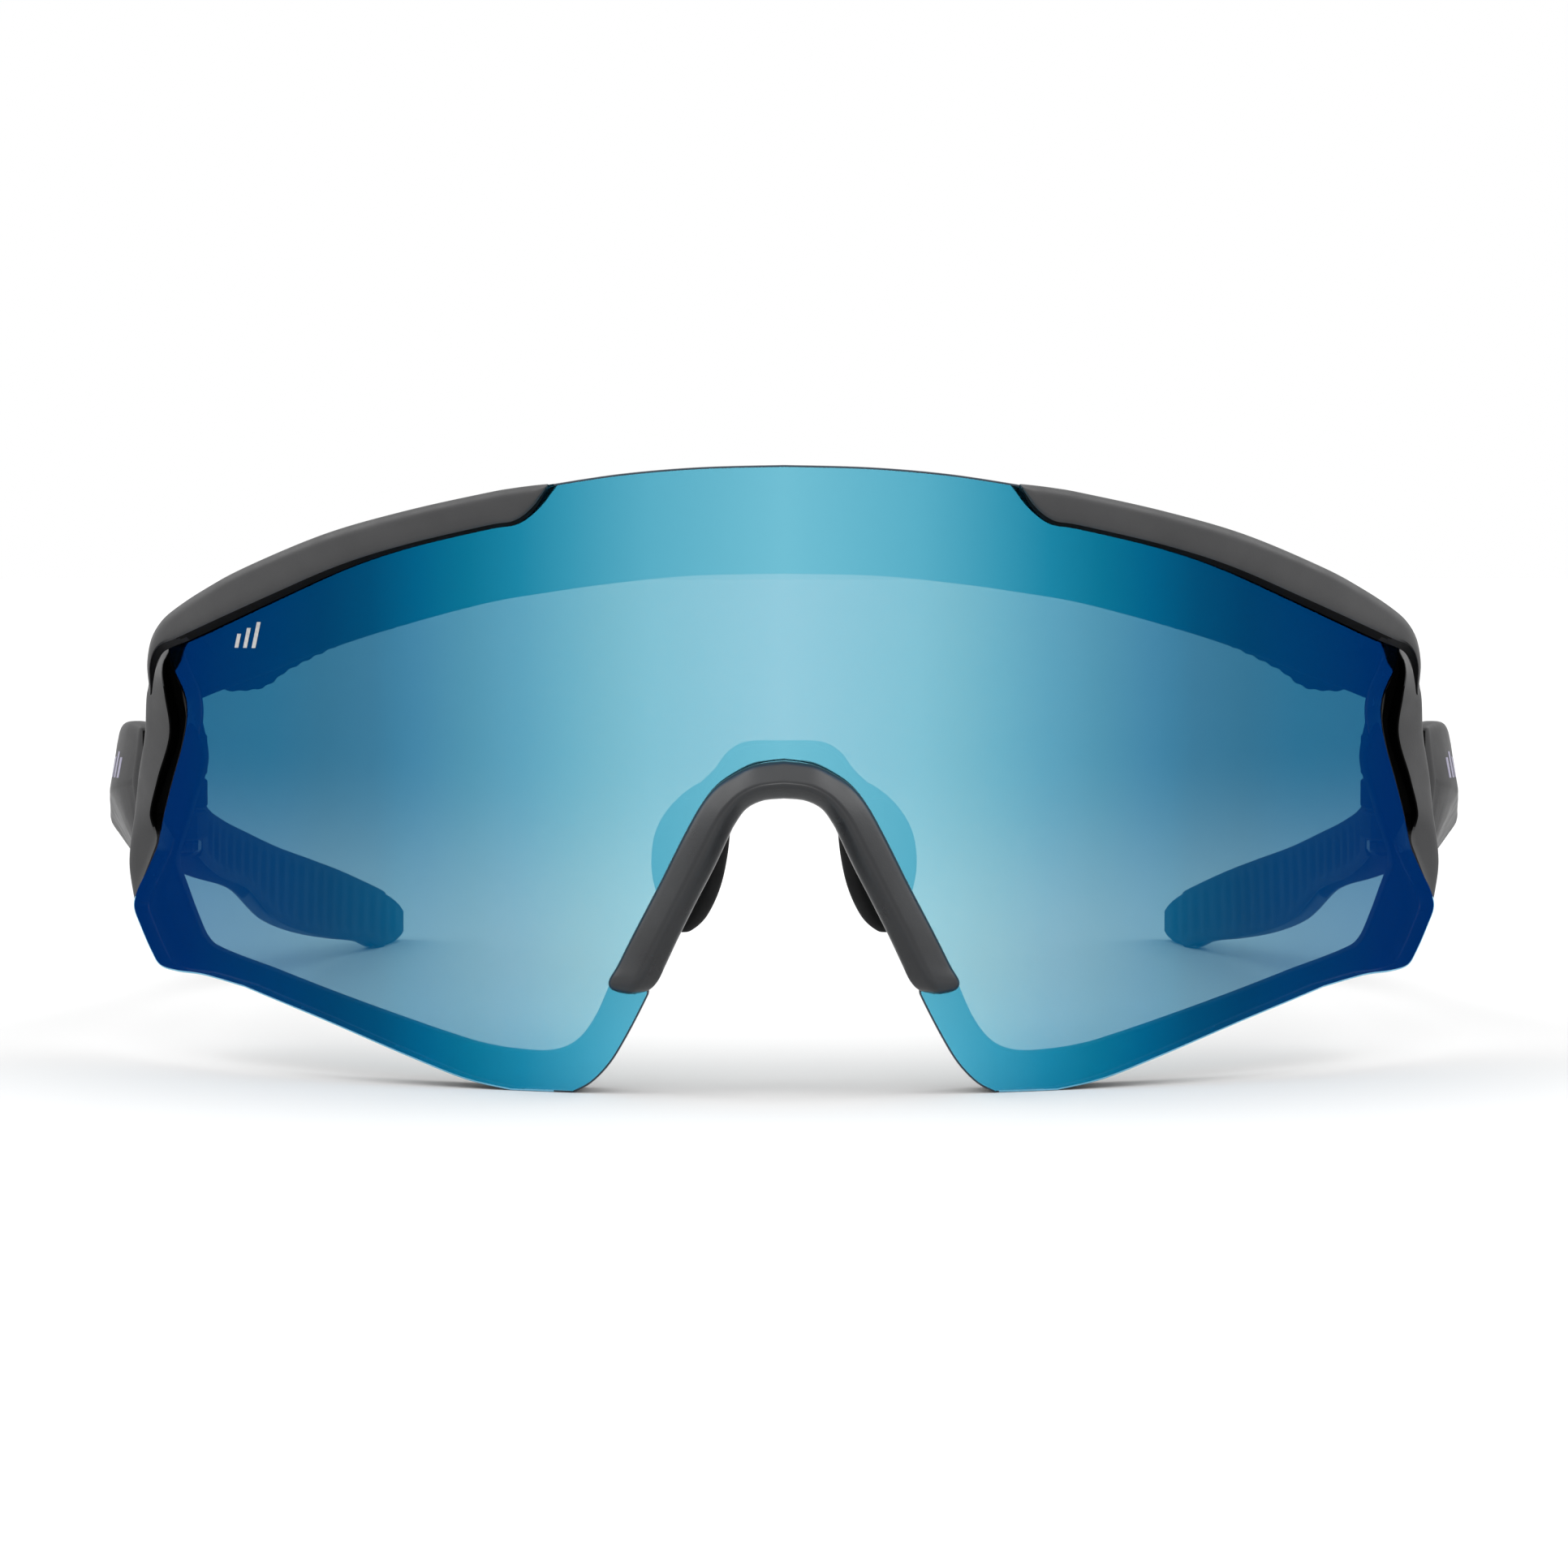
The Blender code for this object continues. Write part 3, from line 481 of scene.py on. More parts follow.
TINT_LOW = [(0, (0.76, 0.66, 0.50)), (20, (0.76, 0.70, 0.54)), (27, (0.70, 0.74, 0.69)),
            (38, (0.52, 0.83, 0.85)), (68, (0.38, 0.78, 0.94))]
TINT_SPAN = (0.012, 0.034)     # the heights in metres between which one becomes the other
PAINTED_MIRROR_LIFT = 1.4              # painted light: the coat is painted this much brighter at the bottom edge, against the floor shadow it reflects there
PAINTED_LIFT_SPAN = (0.014, 0.0)


def height_blend(tree, start, end):
    """0 at one height of the piece and 1 at the other, with a soft step between them."""
    blend = add_node(tree, "MapRange", From_Min=start, From_Max=end)
    blend.interpolation_type = "SMOOTHSTEP"
    tree.links.new(own_axis(tree, "Z"), blend.inputs["Value"])
    return blend.outputs["Result"]


def layer(name, share):
    """A see-through layer: a share of it is a surface and the rest passes tinted light."""
    material, tree, shader = new_material(name)
    clear = tree.nodes.new("ShaderNodeBsdfTransparent")
    both = tree.nodes.new("ShaderNodeMixShader")
    both.inputs[0].default_value = share
    tree.links.new(clear.outputs[0], both.inputs[1])
    tree.links.new(shader.outputs[0], both.inputs[2])
    tree.links.new(both.outputs[0], tree.nodes["Material Output"].inputs["Surface"])
    return material, tree, shader, clear


def mirror_coat():
    material, tree, shader, clear = layer("lens_mirror_coat", MIRROR_SHARE)
    stops = [(x, tuple(c / MIRROR_SHARE for c in colour)) for x, colour in MIRROR_STOPS]
    # painted light: brightens the coat towards its bottom edge
    painted_lift = tree.nodes.new("ShaderNodeMixRGB")
    painted_lift.blend_type = "MULTIPLY"
    painted_lift.inputs["Color2"].default_value = (*[PAINTED_MIRROR_LIFT] * 3, 1)
    tree.links.new(height_blend(tree, *PAINTED_LIFT_SPAN), painted_lift.inputs["Fac"])
    tree.links.new(side_ramp(tree, stops), painted_lift.inputs["Color1"])
    tree.links.new(painted_lift.outputs["Color"], shader.inputs["Base Color"])
    shader.inputs["Metallic"].default_value = 1.0
    shader.inputs["Specular Tint"].default_value = (0.15, 0.5, 1.0, 1)
    tree.links.new(spread(tree, noise(tree, 60, 5), 0.05, 0.09), shader.inputs["Roughness"])
    clear.inputs["Color"].default_value = (1, 1, 1, 1)
    return material


def smoke_body():
    material, tree, shader, clear = layer("lens_smoke_body", SMOKE_SHARE)
    mottle(tree, shader, 40, 3, (0.008, 0.009, 0.012), (0.012, 0.013, 0.017))
    shader.inputs["Roughness"].default_value = 0.08
    shader.inputs["Specular IOR Level"].default_value = 0.3
    blend = tree.nodes.new("ShaderNodeMixRGB")
    tree.links.new(height_blend(tree, *TINT_SPAN), blend.inputs["Fac"])
    tree.links.new(side_ramp(tree, TINT_LOW), blend.inputs["Color1"])
    tree.links.new(side_ramp(tree, TINT_HIGH), blend.inputs["Color2"])
    tree.links.new(blend.outputs["Color"], clear.inputs["Color"])
    return material


def lens_edge(name, dark, light):
    material, tree, shader = new_material(name)
    mottle(tree, shader, 200, 3, dark, light)
    tree.links.new(spread(tree, noise(tree, 300, 3), 0.15, 0.3), shader.inputs["Roughness"])
    return material


def brushed_steel():
    material, tree, shader = new_material("screw_steel")
    shader.inputs["Metallic"].default_value = 1.0
    mottle(tree, shader, 900, 4, (0.025, 0.025, 0.027), (0.05, 0.05, 0.053))
    tree.links.new(spread(tree, noise(tree, 2500, 4, (1, 1, 0.08)), 0.22, 0.42),
                   shader.inputs["Roughness"])
    bump(tree, shader, noise(tree, 4000, 3, (1, 1, 0.05)), 4e-6)
    return material


def printed_ink(name, dark, light):
    material, tree, shader = new_material(name)
    mottle(tree, shader, 3000, 2, dark, light)
    shader.inputs["Roughness"].default_value = 0.45
    return material


PLASTIC = moulded("frame_plastic", (0.030, 0.030, 0.031), (0.037, 0.037, 0.038), (0.42, 0.56),
                  0.35, 5200, 9e-6)
CLIP = moulded("clip_plastic", (0.004, 0.0045, 0.006), (0.007, 0.008, 0.010), (0.26, 0.36),
               0.5, 6000, 6e-6)
RUBBER_AND_SHADE = moulded("soft_rubber", (0.007, 0.007, 0.0075), (0.011, 0.011, 0.0115), (0.62, 0.8),
                 0.15, 3600, 1.4e-5)
STEEL = brushed_steel()
MIRROR, SMOKE = mirror_coat(), smoke_body()
# painted shade: a near-black put on faces of the rim, walls, arms and brow covers that lie in shade
SHADE_BLACK = moulded("painted_shade_black", (0.002, 0.002, 0.002), (0.004, 0.004, 0.004), (0.7, 0.85),
                0.08, 3600, 8e-6)
EDGE = lens_edge("lens_cut_edge", (0.006, 0.018, 0.030), (0.010, 0.026, 0.042))
# painted highlight: a light blue on the lower bevel stands in for its glint
GLINT = lens_edge("lens_edge_painted_glint", (0.12, 0.36, 0.50), (0.16, 0.42, 0.58))
INK = printed_ink("lens_print", (0.38, 0.37, 0.36), (0.48, 0.47, 0.46))
DARK_INK = printed_ink("temple_print", (0.20, 0.19, 0.26), (0.26, 0.25, 0.33))


# -------- shield lens
EDGE_ROUND = 0.2
EDGE_PROFILE = [(EDGE_ROUND, 0.0), (EDGE_ROUND * 0.3, EDGE_ROUND * 0.3), (0.0, EDGE_ROUND),
                (0.0, LENS_THICKNESS - EDGE_ROUND),
                (EDGE_ROUND * 0.3, LENS_THICKNESS - EDGE_ROUND * 0.3),
                (EDGE_ROUND, LENS_THICKNESS)]
BEVEL_X, BEVEL_Z = 22, 17  # outside this X the bevel is a painted light glint below this Z and mirrored above
SLICE = 1.5                # width of the upright strips that the bend is made of


def offset(points, amount):
    """A closed outline moved outwards by this much, or inwards if it is negative."""
    area = sum(a[0] * b[1] - b[0] * a[1] for a, b in zip(points, points[1:] + points[:1]))
    amount = math.copysign(amount, area * amount)
    moved = []
    for i, point in enumerate(points):
        before, after = points[i - 1], points[(i + 1) % len(points)]
        x, z = after[0] - before[0], after[1] - before[1]
        length = math.hypot(x, z)
        moved.append((point[0] + amount * z / length, point[1] - amount * x / length))
    return moved


def cut_at(points, places):
    """The closed outline with a point added wherever it crosses one of these X places."""
    result = []
    for a, b in zip(points, points[1:] + points[:1]):
        result.append(a)
        crossed = [x for x in places if (a[0] - x) * (b[0] - x) < 0]
        for x in sorted(crossed, reverse=a[0] > b[0]):
            result.append((x, a[1] + (b[1] - a[1]) * (x - a[0]) / (b[0] - a[0])))
    return result


def lens_half():
    """The lens edge from the top centre round to the nose arch's centre."""
    runs = [(LENS_TOP_EDGE, 8), (LENS_UNDER_COVER, 6), (LENS_NOTCH, 6), (LENS_LOBE, 6),
            (LENS_BOTTOM, 8), (LENS_FOOT, 1), (LENS_NOSE, 5), (LENS_ARCH, 6)]
    line = []
    for points, steps in runs:
        line += smooth(points, steps)[:-1]
    return line + [LENS_ARCH[-1]]


def curved_normals(obj):
    """Sets the two big faces' normals from the cylinder, so that the mirror has no facets."""
    mesh = obj.data
    normals = [Vector(corner.vector) for corner in mesh.corner_normals]
    for face in mesh.polygons:
        if face.material_index > 1:
            continue
        radius = LENS_RADIUS - LENS_THICKNESS * face.material_index
        way = 1 - 2 * face.material_index
        for k in face.loop_indices:
            x = mesh.vertices[mesh.loops[k].vertex_index].co.x / MM
            normals[k] = Vector((x / math.sqrt(radius ** 2 - x ** 2), -1, -LEAN)).normalized() * way
    mesh.normals_split_custom_set(normals)


def make_lens():
    half = lens_half()
    whole = half + [(-x, z) for x, z in half[-2:0:-1]]
    places = [SLICE * k for k in range(-46, 47)]
    face_edge = cut_at(offset(whole, -EDGE_ROUND), places)
    bm = bmesh.new()
    front_rim = [bm.verts.new((x, 0, z)) for x, z in face_edge]
    bm.faces.new(front_rim)
    for x in places:
        geometry = bm.verts[:] + bm.edges[:] + bm.faces[:]
        bmesh.ops.bisect_plane(bm, geom=geometry, dist=1e-4, plane_co=(x, 0, 0), plane_no=(1, 0, 0))
    bmesh.ops.triangulate(bm, faces=bm.faces)
    front_faces = bm.faces[:]
    flat = {vert: vert.co.copy() for vert in bm.verts}
    twin = {vert: bm.verts.new(through_lens(p.x, p.z, LENS_THICKNESS)) for vert, p in flat.items()}
    for face in front_faces:
        bm.faces.new([twin[v] for v in reversed(face.verts)]).material_index = 1
    rings = [front_rim]
    for step, depth in EDGE_PROFILE[1:-1]:
        line = offset(face_edge, EDGE_ROUND - step)
        rings.append([bm.verts.new(through_lens(x, z, depth)) for x, z in line])
    rings.append([twin[vert] for vert in front_rim])
    for level, (a, b) in enumerate(zip(rings, rings[1:])):
        for i in range(len(a)):
            j = (i + 1) % len(a)
            start = flat[front_rim[i]]
            bevel = 2 if abs(start.x) < BEVEL_X else 3 if start.z < BEVEL_Z else 0
            bm.faces.new((a[i], a[j], b[j], b[i])).material_index = bevel if level < 2 else 2
    for vert, p in flat.items():
        vert.co = through_lens(p.x, p.z, 0)
    lens = mesh_object("shield_lens_fine", bm)
    finish_piece(lens, "front", [MIRROR, SMOKE, EDGE, GLINT], "shield_lens")
    curved_normals(lens)


def slanted_bars(heights, x, z, width, pitch, slope):
    """Small strokes side by side, each as lower left, lower right, upper right, upper left."""
    bars = []
    for k, height in enumerate(heights):
        left = x + k * pitch
        bars.append([(left, z), (left + width, z), (left + width + slope * height, z + height),
                     (left + slope * height, z + height)])
    return bars


def make_lens_mark():
    """A plain mark of three slanted strokes, printed on the wearer's right of the lens."""
    shells = []
    for bar in slanted_bars(heights=(1.4, 2.0, 2.6), x=-55.0, z=43.2, width=0.42, pitch=0.95,
                            slope=0.25):
        shells.append(loft([[on_lens(x, z, depth) for x, z in bar] for depth in (-0.03, -0.005)]))
    finish_piece(mesh_object("lens_mark", merge(shells)), "front", [INK])


# -------- frame front
SIDE_START = 55.0              # outside this X the rim can have a side wall
WALL_START, LUG_START, SHADE_TOP = 59.0, 45.0, 43.5    # the X, Y and Z limits of the walls painted black as shade
SLOT_START = (22.0, 25.5)      # the slot beside the pillar opens between these heights
SLOT_ROOM = (1.2, 2.6)         # and as the ridge stands this far out from the lens edge
RIM_RADII = [0.25, 0.5, 0.6, 0.9, 1.6, 1.2, 0.9, 0.5, 0.3, 0.9, 0.7, 0.3, 0.3]
RIM_SHADE = [*range(10), *range(42, 52)]    # painted shade: black on the seat behind the lens, its inner edge and the slot


def rim_section(outer, inner, brow, side):
    """Thirteen corners round the rim; at the sides they form wall, recess, pillar and slot."""
    back = RING_BACK + (BROW_BACK - RING_BACK) * brow
    ring = [on_lens(*outer, RING_FRONT), on_lens(*inner, RING_FRONT), on_lens(*inner, back - 0.6)]
    ring += [on_lens(*mix(outer, inner, share), back) for share in (0.9, 0.5, 0.15)]
    ring += [on_lens(*outer, back - ahead) for ahead in (0.4, 0.7, 1.0, 1.3)]
    ring += [on_lens(*outer, RING_FRONT + behind) for behind in (1.2, 0.8, 0.4)]
    z = outer[1]
    if side and WALL_Z[0] < z < WALL_Z[-1]:
        ridge_x, ridge_y, end, thick, blend, width, turn = (
            curve_value(table, WALL_Z, z) for table in
            (RIDGE_X, RIDGE_Y, WALL_END, WALL_THICK, WALL_BLEND, PILLAR_WIDTH, PILLAR_TURN))
        ridge = Vector((ridge_x, ridge_y + turn, z))
        aside = max(curve_value(RECESS_X, RECESS_Z, z) - ridge_x, 0.1)
        deep = min(ridge.y + 0.7 + 1.2 * aside, end - 1.5)
        pillar = max(ridge_x - width, outer[0] + 0.5)
        floor = max(ridge_y + 1.8, end - 1.8)
        slot = [Vector((pillar, ridge_y - PILLAR_LEAD, z)), Vector((pillar + 0.2, floor, z)),
                Vector((min(max(outer[0] + 0.3, ridge_x - thick + 0.8), pillar), floor, z))]
        room = ease(ridge_x - outer[0], *SLOT_ROOM) * ease(z, *SLOT_START)
        face = Vector((outer[0] + 0.3 * (ridge_x - outer[0]), ridge_y - PILLAR_LEAD, z))
        filled = [face, face.lerp(ring[0], 0.4), face.lerp(ring[0], 0.8)]
        lip = Vector((outer[0] + 0.1, on_lens(*outer, 0.15).y, z))
        ring[0] = ring[0].lerp(lip, blend * room)       # closes the view past the lens edge
        wall = [Vector((ridge_x - thick, end - 0.3, z)), Vector((ridge_x - thick / 2, end, z)),
                Vector((ridge_x + aside, end - 0.9, z)), Vector((ridge_x + aside, deep, z)),
                Vector((ridge_x + 0.05, 0.3 * ridge.y + 0.7 * deep, z)), ridge,
                *[a.lerp(b, room) for a, b in zip(filled, slot)]]
        for k, goal in zip(range(4, 13), wall):
            ring[k] = ring[k].lerp(goal, blend)
    return rounded_ring(ring, RIM_RADII)


def frame_lines():
    """Matching points along the rim's outer and inner edge, and how much each is brow."""
    outer_runs = [smooth(LENS_TOP_EDGE, 8)[:-1] + smooth(LENS_UNDER_COVER, 8),
                  smooth(LENS_NOTCH, 8)[:-1] + smooth(LENS_LOBE, 8),
                  smooth(LENS_BOTTOM, 8)[:-1] + LENS_FOOT[:-1] + smooth(LENS_NOSE, 8),
                  smooth(LENS_ARCH, 8)]
    inner_runs = [smooth(edge, 8) for edge in (BROW_EDGE, SIDE_EDGE, LOWER_EDGE, BRIDGE_EDGE)]
    outer, inner, brow = [], [], []
    for run, count in enumerate((60, 110, 64, 50)):
        outer += resample(outer_runs[run], count)[:-1]
        inner += resample(inner_runs[run], count)[:-1]
        brow += [1.0 if run == 0 else 0.0] * (count - 1)
    return outer + [LENS_ARCH[-1]], inner + [BRIDGE_EDGE[-1]], brow + [0.0]


def hinge_circle(radius, count=32):
    """Points round the hinge axis; the first half runs over the back."""
    return [(HINGE_X + radius * math.cos(2 * math.pi * k / count),
             HINGE_Y + radius * math.sin(2 * math.pi * k / count)) for k in range(count)]


def plate(outline, low, high, bevel=0.25):
    """An upright plate of this XY outline with its top and bottom edges bevelled."""
    def level(z):
        return [Vector((x, y, z)) for x, y in outline]
    return loft([inset(level(low), bevel), level(low + bevel), level(high - bevel),
                 inset(level(high), bevel)])


def round_tool(radius, low, high):
    return loft([[Vector((x, y, z)) for x, y in hinge_circle(radius)] for z in (low, high)])


def make_frame():
    outer, inner, brow = frame_lines()
    sections = []
    for k, (o, i) in enumerate(zip(outer, inner)):
        aim = Vector((i[0] - o[0], i[1] - o[1])).normalized() * RING_INSET
        nearby = brow[max(k - 8, 0):k + 9]
        sections.append(rim_section((o[0] + aim.x, o[1] + aim.y), i, sum(nearby) / len(nearby),
                                    o[0] > SIDE_START))
    far_side = [[Vector((-p.x, p.y, p.z)) for p in ring] for ring in sections[-2:0:-1]]
    skin = loft(sections + far_side, closed=True, dark=RIM_SHADE)
    rim = mesh_object("frame_front_fine", skin, materials=(PLASTIC, SHADE_BLACK))
    lug = hinge_circle(KNUCKLE_RADIUS)[:17] + [(62.4, 44.0), (66.9, 44.0)]
    for side in (1, -1):
        combine(rim, merge([plate(lug, *LUG_LOW), plate(lug, *LUG_HIGH)]), "UNION", side)
        combine(rim, round_tool(SCREW_HOLE, LUG_LOW[0] - 1, LUG_HIGH[1] + 1), "DIFFERENCE", side)
    for face in rim.data.polygons:
        outward = math.copysign(1, face.center.x)
        in_shade = outward * face.normal.x < -0.3 or face.center.y / MM > LENS_FRONT + LUG_START
        beside = outward * face.center.x / MM > WALL_START and face.center.z / MM < SHADE_TOP
        if beside and in_shade:
            face.material_index = 1        # painted shade: the walls are black on the wearer's side and behind the lugs, where they lie in shade
    finish_piece(rim, "front", [PLASTIC, SHADE_BLACK], "frame_front")


# -------- brow covers and pads
def make_brow_cover(side, tag):
    """A shell with a face over the lens and a roof back over its top edge."""
    top, low = smooth(COVER_TOP, 8), smooth(COVER_LOW, 8)
    reach = [r[0] for r in smooth([(r,) for r in COVER_REACH], 8)]
    sections = []
    for a, b, depth in zip(top, low, reach):
        back = Vector((0, depth, 0))
        width = math.dist(a, b)
        under = mix(a, b, min(0.95, width * 0.45) / width)
        soft = mix(a, b, min(0.55, width * 0.25) / width)
        turned = 1 - ease(b[1], 42.0, 43.4)    # 1 where the cover runs down the side
        tip = 1 - ease(b[1], 38.2, 41.5)       # 1 at its very end, where the face thins out
        slope = min((0.35 + 0.45 * ease(a[0], 35, 60)) / width, 0.22 + 0.33 * turned - 0.35 * tip)
        front = 1 - 0.7 * tip
        roof = -1.4 * front
        corners = [on_lens(*b, -GAP), on_lens(*mix(b, a, slope), -1.7 * front),
                   on_lens(*mix(a, b, 0.65), -2.15 * front), on_lens(*soft, -2.1 * front),
                   on_lens(*a, roof), on_lens(*a, roof) + back, on_lens(*under, roof) + back,
                   on_lens(*under, -GAP)]
        sections.append(rounded_ring(corners, [0.15, 0.75, 0.8, 0.5, 0.4, 0.3, 0.2, 0.2], 4))
    # painted shade: the lower lip's strips are black where shade falls under the cover
    bm = loft(rounded_run(sections, 0.1), dark=range(2, 7))
    for face in bm.faces:
        if face.material_index and face.calc_center_median().z < COVER_TURN:
            face.material_index = 2        # painted shade: the lower edge is dark grey rather than black where it turns down the side
    cover = mesh_object("brow_cover_" + tag + "_fine", bm, side)
    finish_piece(cover, "front", [PLASTIC, SHADE_BLACK, RUBBER_AND_SHADE], "brow_cover_" + tag)


def make_brow_pad(side, tag):
    """A ribbed rubber strip on the back of the brow bar, reaching a little below it."""
    low, high = smooth(BROW_PAD_LOW, 32), smooth(BROW_PAD_HIGH, 32)
    sections, along = [], 0.0
    for k, (b, a) in enumerate(zip(low, high)):
        along += math.dist(low[k - 1], b) if k else 0.0
        rib = 0.5 + 0.5 * math.cos(2 * math.pi * along / BROW_RIB_PITCH)
        end = min(ease(k, 0, 8), ease(len(low) - 1 - k, 0, 8))
        b = mix(b, a, 0.05 * (1 - rib) + 0.25 * (1 - end))
        thick = 1.1 + 0.3 * rib * end
        corners = [on_lens(*b, BROW_BACK + GAP), on_lens(*a, BROW_BACK + GAP),
                   on_lens(*a, BROW_BACK + GAP + 0.5), on_lens(*mix(a, b, 0.35), BROW_BACK + thick),
                   on_lens(*b, BROW_BACK + thick + 0.25 * end)]
        sections.append(rounded_ring(corners, [0.15, 0.15, 0.4, 0.5, 0.5]))
    pad = mesh_object("brow_pad_" + tag + "_fine", loft(rounded_run(sections, 0.15)), side)
    finish_piece(pad, "front", [RUBBER_AND_SHADE], "brow_pad_" + tag, sharp=50)


# -------- nose piece
def arch(outer, inner, steps, section):
    """Sections along a whole arch, given one half of its two edges."""
    rings = [section(o, i) for o, i in zip(smooth(outer, steps), smooth(inner, steps))]
    far_side = [[Vector((-p.x, p.y, p.z)) for p in ring] for ring in rings[:0:-1]]
    return far_side + rings


def make_nose_clip():
    """The arch in front of the lens, with a soft ridge and a liner through the opening."""
    def section(o, i):
        lip = mix(i, o, LINER / math.dist(o, i))
        gone = min(max((LINER_END - o[1]) / (LINER_END - CLIP_OUTER[-1][1]), 0.0), 1.0)
        shown = 0.15 + 0.85 * math.sqrt(1 - gone ** 3)
        deep = -0.7 + (RING_BACK + 0.7) * ease(i[1], LINER_END - 0.3, LINER_END + 0.3)
        corners = [on_lens(*o, -GAP), on_lens(*o, -0.5 - 0.7 * shown),
                   on_lens(*mix(o, i, 0.33), -0.7 - 1.55 * shown),
                   on_lens(*mix(o, i, 0.6), -0.8 - 2.2 * shown),
                   on_lens(*mix(o, i, 0.82), -0.7 - 1.35 * shown), on_lens(*i, -0.5 - 0.5 * shown),
                   on_lens(*i, deep), on_lens(*lip, deep), on_lens(*lip, -GAP)]
        return rounded_ring(corners, [0.12, 0.6, 0.8, 0.75, 0.6, 0.5, 0.15, 0.15, 0.12], 4)
    sections = rounded_run(arch(CLIP_OUTER, CLIP_INNER, 8, section), 0.15)
    clip = mesh_object("nose_clip_fine", loft(sections))
    finish_piece(clip, "front", [CLIP], "nose_clip", sharp=45)


def make_nose_saddle():
    """The rubber bridge behind the rim that both pads hang from."""
    def section(o, i):
        front = RING_BACK + GAP
        thick = 3.2 - 1.8 * (o[0] / SADDLE_OUTER[-1][0]) ** 2
        corners = [on_lens(*o, front), on_lens(*o, front + thick - 0.6), on_lens(*i, front + thick),
                   on_lens(*i, front)]
        return rounded_ring(corners, [0.3, 0.8, 0.8, 0.3], 4)
    rings = rounded_run(arch(SADDLE_OUTER, SADDLE_INNER, 8, section), 0.3)
    saddle = mesh_object("nose_saddle_fine", loft(rings))
    for side in (1, -1):
        combine(saddle, plate(STEM, *STEM_Z, bevel=0.3), "UNION", side)
    finish_piece(saddle, "front", [RUBBER_AND_SHADE], "nose_saddle", sharp=50)


def make_nose_pad(side, tag):
    """A leaf-shaped rubber pad, crowned on the side that rests on the nose."""
    turn = math.atan(PAD_SWEEP)
    normal = Vector((-math.sin(turn), math.cos(turn), 0))
    outline = smooth(PAD_OUTLINE + PAD_OUTLINE[:1], 6)[:-1]
    profile = [(0.25, 0.55), (0.02, 0.8), (0.1, 0.93), (0.45, 0.995), (PAD_THICKNESS - 1.1, 1.0),
               (PAD_THICKNESS - 0.6, 0.97), (PAD_THICKNESS - 0.2, 0.88), (PAD_THICKNESS, 0.72),
               (PAD_THICKNESS + 0.1, 0.5), (PAD_THICKNESS + 0.12, 0.25)]
    layers = []
    for height, share in profile:
        ring = []
        for x, z in outline:
            x = PAD_CENTRE[0] + (x - PAD_CENTRE[0]) * share
            z = PAD_CENTRE[1] + (z - PAD_CENTRE[1]) * share
            ring.append(Vector((x, PAD_FRONT_Y + (x - PAD_FRONT_X) * PAD_SWEEP, z)) + normal * height)
        layers.append(ring)
    pad = mesh_object("nose_pad_" + tag + "_fine", loft(layers), side)
    finish_piece(pad, tag + "_nose_pad", [RUBBER_AND_SHADE], "nose_pad_" + tag, sharp=50)


# -------- temples
def temple_at(y):
    return (curve_value(table, TEMPLE_Y, y) for table in (INNER_X, OUTER_X, TOP_Z, CREASE_Z, BOTTOM_Z))


def temple_corners(y, inner=None, outer=None):
    """Nine corners round the arm at a Y; inner and outer can be given instead of the table's."""
    table_inner, table_outer, top, crease, low = temple_at(y)
    inner = table_inner if inner is None else inner
    outer = table_outer if outer is None else outer
    lean = 1 - ease(y, 50, 62)
    lower = outer - min((outer - inner) * (0.3 + 0.3 * lean), 2.2 + 0.7 * lean)
    shoulder = outer - min((outer - inner) * (0.2 + 0.3 * lean), 0.35 + 0.9 * lean)
    bevel = min(0.7, (min(shoulder, lower) - inner) * 0.35)
    return [(inner, y, low + bevel), (inner, y, top - bevel), (inner + bevel, y, top),
            (shoulder - bevel, y, top), (shoulder, y, top - bevel), (outer, y, crease),
            (lower, y, low + bevel), (lower - bevel, y, low), (inner + bevel, y, low)]


TEMPLE_RADII = [0.5, 0.5, 0.5, 0.7, 0.9, 0.5, 0.6, 0.6, 0.5]


def spaced(start, end, step):
    """Even stations from start to end, both kept."""
    count = max(round((end - start) / step), 1)
    return [start + (end - start) * k / count for k in range(count + 1)]


def make_temple(side, tag):
    """The hard arm: a cap outside the hinge, its knuckle and the long arm behind."""
    cap = [rounded_ring(temple_corners(y, inner=CAP_INNER), TEMPLE_RADII)
           for y in spaced(TEMPLE_Y[0], CAP_END, 0.6)]
    cap = rounded_run(cap, 0.35, end=False)
    arm = [rounded_ring(temple_corners(y), TEMPLE_RADII)
           for y in spaced(ARM_START, GRIP_START - GAP, 0.6)]
    behind = []
    for y in spaced(GRIP_START - GAP + 0.01, TEMPLE_END, 1.5):
        inner = curve_value(INNER_X, TEMPLE_Y, y) + GRIP_THICKNESS + 0.05
        behind.append(rounded_ring(temple_corners(y, inner=inner), TEMPLE_RADII))
    # painted shade: the inner face and underside strips are black near the front of the arm
    skin = loft(cap + arm + behind, dark=[*range(5), *range(31, 36)])
    temple = mesh_object("temple_" + tag + "_fine", skin, side, (PLASTIC, SHADE_BLACK))
    tongue = [(68.8, 50.2), (69.0, 54.4), (64.2, 54.4), (62.8, 51.0)]
    combine(temple, plate(hinge_circle(KNUCKLE_RADIUS), *LUG_MIDDLE), "UNION", side)
    combine(temple, plate(tongue, *LUG_MIDDLE), "UNION", side)
    combine(temple, round_tool(BUSH_HOLE, LUG_MIDDLE[0] - 1, LUG_MIDDLE[1] + 1), "DIFFERENCE", side)
    for face in temple.data.polygons:
        x, y, z = face.center / MM
        on_tongue = abs(x) < CAP_INNER - 0.5 and y < LENS_FRONT + 54.4
        if on_tongue and LUG_MIDDLE[0] - 0.1 < z < LUG_MIDDLE[1] + 0.1:
            face.material_index = 1        # painted shade: black like the shaded hinge walls it closes on
        if y > LENS_FRONT + SHADE_END:
            face.material_index = 0
    finish_piece(temple, tag + "_temple", [PLASTIC, SHADE_BLACK], "temple_" + tag)


